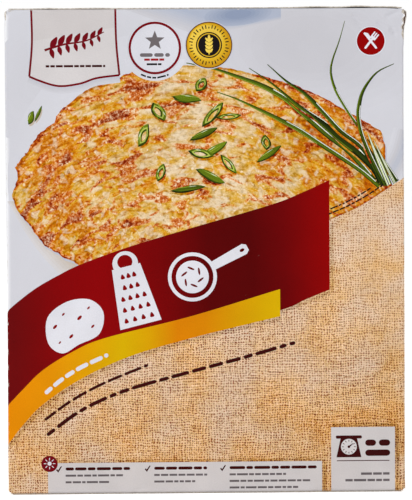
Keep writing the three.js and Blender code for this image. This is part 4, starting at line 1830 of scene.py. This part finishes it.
def paint_back():
    """The back wall: cooking steps, a table, paragraphs of bars and a plain striped panel."""
    paint("dark red ink", bar((-231, 186.5), 106, 9.0, ends=0.2))
    paint_potato((-223, 191), 8, 0.36, holes="dark red ink")
    words("white ink", level(-214, -136, 191), 2.6, 201, tone=0.9, gap=0.5)
    for k, figure in enumerate((pan_on_flame, clock, oven, plate_and_fork)):
        paint_step(-231 + 27.6 * k, 158, 22, figure)
    paint_table(-196, -125, 142, 8, 5.0)
    text_block(-231, -202, 141, 9, 1.1, 31)
    text_block(-196, -125, 92, 2, 1.6, 32, "brown ink")
    text_block(-196, -125, 84, 8, 1.0, 33)
    text_block(-196, -150, 63, 5, 1.0, 34)
    paint("white ink", box_outline((-146, 44), (-125, 63)), 1.0)
    for k in range(13):
        paint("black ink", box_outline((-144 + 1.4 * k, 46.5), (-143.3 + 1.4 * k, 61)))
    words("black ink", level(-144, -127, 45.4), 0.7, 35)
    for t in (184, 160):
        paint("dark red ink", oval((-250, t), 9.0))
        paint("white ink", oval((-250, t), 8.2), 0.9)
    for turn in (0, 120, 240):
        paint("chive", placed(moved(LEAF, 0, 1.4), (-250, 184), turn))
    paint("red ink", placed(TICK, (-250.4, 159.4), 0, 4.0))
    text_block(-262, -238, 146, 3, 1.0, 36)
    paint_small_cake((-217, 99), 15.5, 9.8)


def paint_sides():
    """The side walls: a dark red tag with a potato, bars, and a small table on the right one."""
    half = 9.5  # of the tag and the print below it
    for middle in (-97.5, 97.5):
        low, high = middle - half, middle + half
        paint("dark red ink", [(low, 208), (low, 176), (middle, 170.5), (high, 176), (high, 208)])
        paint("gold band", [(low, 176), (middle, 170.5), (high, 176), (high, 174.4), (middle, 168.9),
                            (low, 174.4)])
        paint_potato((middle, 189), 20, 0.62, holes="dark red ink")
        text_block(low, high, 164, 2, 1.7, 50, "brown ink")
        text_block(low, high, 156, 5, 1.0, 51)
    left, right = -97.5, 97.5
    text_block(left - half, left + half, 142, 9, 1.0, 52)
    paint("dark red ink", box_outline((left - half, 119.2), (left + half, 119.7)))
    text_block(left - half, left + half, 117, 1, 1.6, 53, "brown ink")
    text_block(left - half, left + half, 112, 12, 1.0, 54)
    half = 8.4  # of the print on the right wall's panels
    paint("label paper", bar((right - 10, 78), 20, 46, ends=0.04), 0.6)
    clock((right, 115))
    text_block(right - half, right + half, 106, 11, 1.0, 55)
    paint("label paper", bar((right - 10, 22), 20, 48, ends=0.04), 0.6)
    text_block(right - half, right + half, 67, 2, 1.5, 56, "brown ink")
    text_block(right - half, right + half, 60, 15, 1.0, 57)


def paint_flaps():
    """The outer flaps over the ends, and the strips of the folds beside them."""
    for top, outward, field in ((202.0, 1, "white board"), (0.0, -1, "hessian")):
        strips = ((field, 2.5, 36, 0.55), ("banner red", 11, 20, 0.5), ("gold band", 20, 22.4, 0.5))
        for ink, low, high, tone in strips:
            ends = (-280, top + outward * low), (-110, top + outward * high)
            paint(ink, box_outline(*ends), tone)
        t = top + outward * 15.5
        for k in range(3):
            paint_potato((-244 + 49 * k, t), 12, 0.34)
            line = level(-236 + 49 * k, -212 + 49 * k, t)
            words("white ink", line, 2.0, 80 + k, tone=0.9)


# Painted in this order, from what lies farthest back to the labels and the knocked corner.
paint_fields()
paint_rosti()
paint_chives()
paint_cloth()
paint_banner()
paint_heading()
paint_lines()
paint_label()
paint_white_badge()
paint_gold_badge()
paint_cutlery_disc()
paint_info_strip()
paint_weight_panel()
paint_round_foot()
paint_back()
paint_sides()
paint_flaps()
paint_knocks()

# ---------------------------------------------------------------- pieces, studio and camera

for wall in WALLS:
    build_sheet(wall)


WHITE = (1.0, 1.0, 1.0, 1.0)
WHITE_ROOM = 0.55  # brightness of the room all round
FLOOR_HALF = 8.0
FLOOR_SQUARES = 16  # along one side of the floor
FLOOR_GLOW = 0.52  # by which the floor is lifted to the white of the room
LIGHTS_AIM = Vector((0, 0, 0.1))
LIGHTS = [
    # Name, place, size and power.
    ("key light", (-1.7, -1.2, 1.2), 1.6, 24.0),
    ("fill light", (1.5, -1.3, 0.9), 1.4, 8.0),
    ("back light", (0.4, 1.8, 1.5), 2.0, 14.0),
]


def for_the_eye(tree, seen, otherwise):
    """One strength where the camera looks straight at a thing and another where it only gives light."""
    straight = add(tree, "LightPath").outputs["Is Camera Ray"]
    return spread(tree, straight, 0.0, 1.0, otherwise, seen)


def studio_floor():
    """A plain pale floor that runs out into the white of the room."""
    count = FLOOR_SQUARES
    steps = [FLOOR_HALF * (2 * k / count - 1) for k in range(count + 1)]
    points = [(x, y, 0.0) for y in steps for x in steps]
    faces = [
        (k, k + 1, k + count + 2, k + count + 1)
        for j in range(count) for k in range(j * (count + 1), j * (count + 1) + count)
    ]
    floor, mesh = new_piece("studio_floor", points, faces)
    material, tree = new_material("studio floor")
    place = add(tree, "TexCoord").outputs["Object"]
    cloud = add(tree, "TexNoise", {"Vector": place, "Scale": 1.5}).outputs["Fac"]
    body = add(tree, "BsdfPrincipled", {
        "Base Color": spread(tree, cloud, 0.0, 1.0, 0.88, 0.92), "Roughness": 0.9,
        "Emission Color": WHITE,
        "Emission Strength": for_the_eye(tree, FLOOR_GLOW, 0.0),
    })
    add(tree, "OutputMaterial", {"Surface": body.outputs["BSDF"]})
    mesh.materials.append(material)


def studio_light():
    """A white room, with one large soft light at the left before the carton and two weaker ones."""
    world = bpy.data.worlds.new("white room")
    bpy.context.scene.world = world
    world.use_nodes = True
    tree = world.node_tree
    sockets = {"Strength": for_the_eye(tree, 1.0, WHITE_ROOM), "Color": WHITE}
    join(tree, tree.nodes["Background"], sockets)
    for name, place, size, power in LIGHTS:
        data = bpy.data.lights.new(name, "AREA")
        data.shape = "DISK"
        data.size = size
        data.energy = power
        light = bpy.data.objects.new(name, data)
        light.location = place
        aim = LIGHTS_AIM - Vector(place)
        light.rotation_euler = aim.to_track_quat("-Z", "Y").to_euler()
        bpy.context.scene.collection.objects.link(light)


CAMERA_PLACE = (-0.02 + MIDDLE_X * MM, -1.115, 0.1413)
CAMERA_PITCH = 2.084  # degrees down
CAMERA_YAW = 1.047  # degrees to the right
CAMERA_ROLL = -0.369
SENSOR_WIDTH = 36.0
FOCAL_WIDTHS = 6.4494  # focal length in widths of the sensor


def studio_camera():
    """The camera before the carton, a little above its middle."""
    pitch, yaw, roll = (math.radians(a) for a in (CAMERA_PITCH, CAMERA_YAW, CAMERA_ROLL))
    ahead = Vector((
        math.sin(yaw) * math.cos(pitch), math.cos(yaw) * math.cos(pitch), -math.sin(pitch)
    ))
    right = ahead.cross(Vector((0, 0, 1))).normalized()
    up = right.cross(ahead)
    rolled_right = right * math.cos(roll) + up * math.sin(roll)
    rolled_up = -right * math.sin(roll) + up * math.cos(roll)
    data = bpy.data.cameras.new("studio camera")
    data.sensor_fit = "HORIZONTAL"
    data.sensor_width = SENSOR_WIDTH
    data.lens = FOCAL_WIDTHS * SENSOR_WIDTH
    data.clip_start = 0.05
    camera = bpy.data.objects.new("studio camera", data)
    turn = Matrix((rolled_right, rolled_up, -ahead)).transposed().to_4x4()
    camera.matrix_world = Matrix.Translation(CAMERA_PLACE) @ turn
    bpy.context.scene.collection.objects.link(camera)
    bpy.context.scene.camera = camera


studio_floor()
studio_light()
studio_camera()
bpy.context.scene.view_settings.view_transform = "Standard"
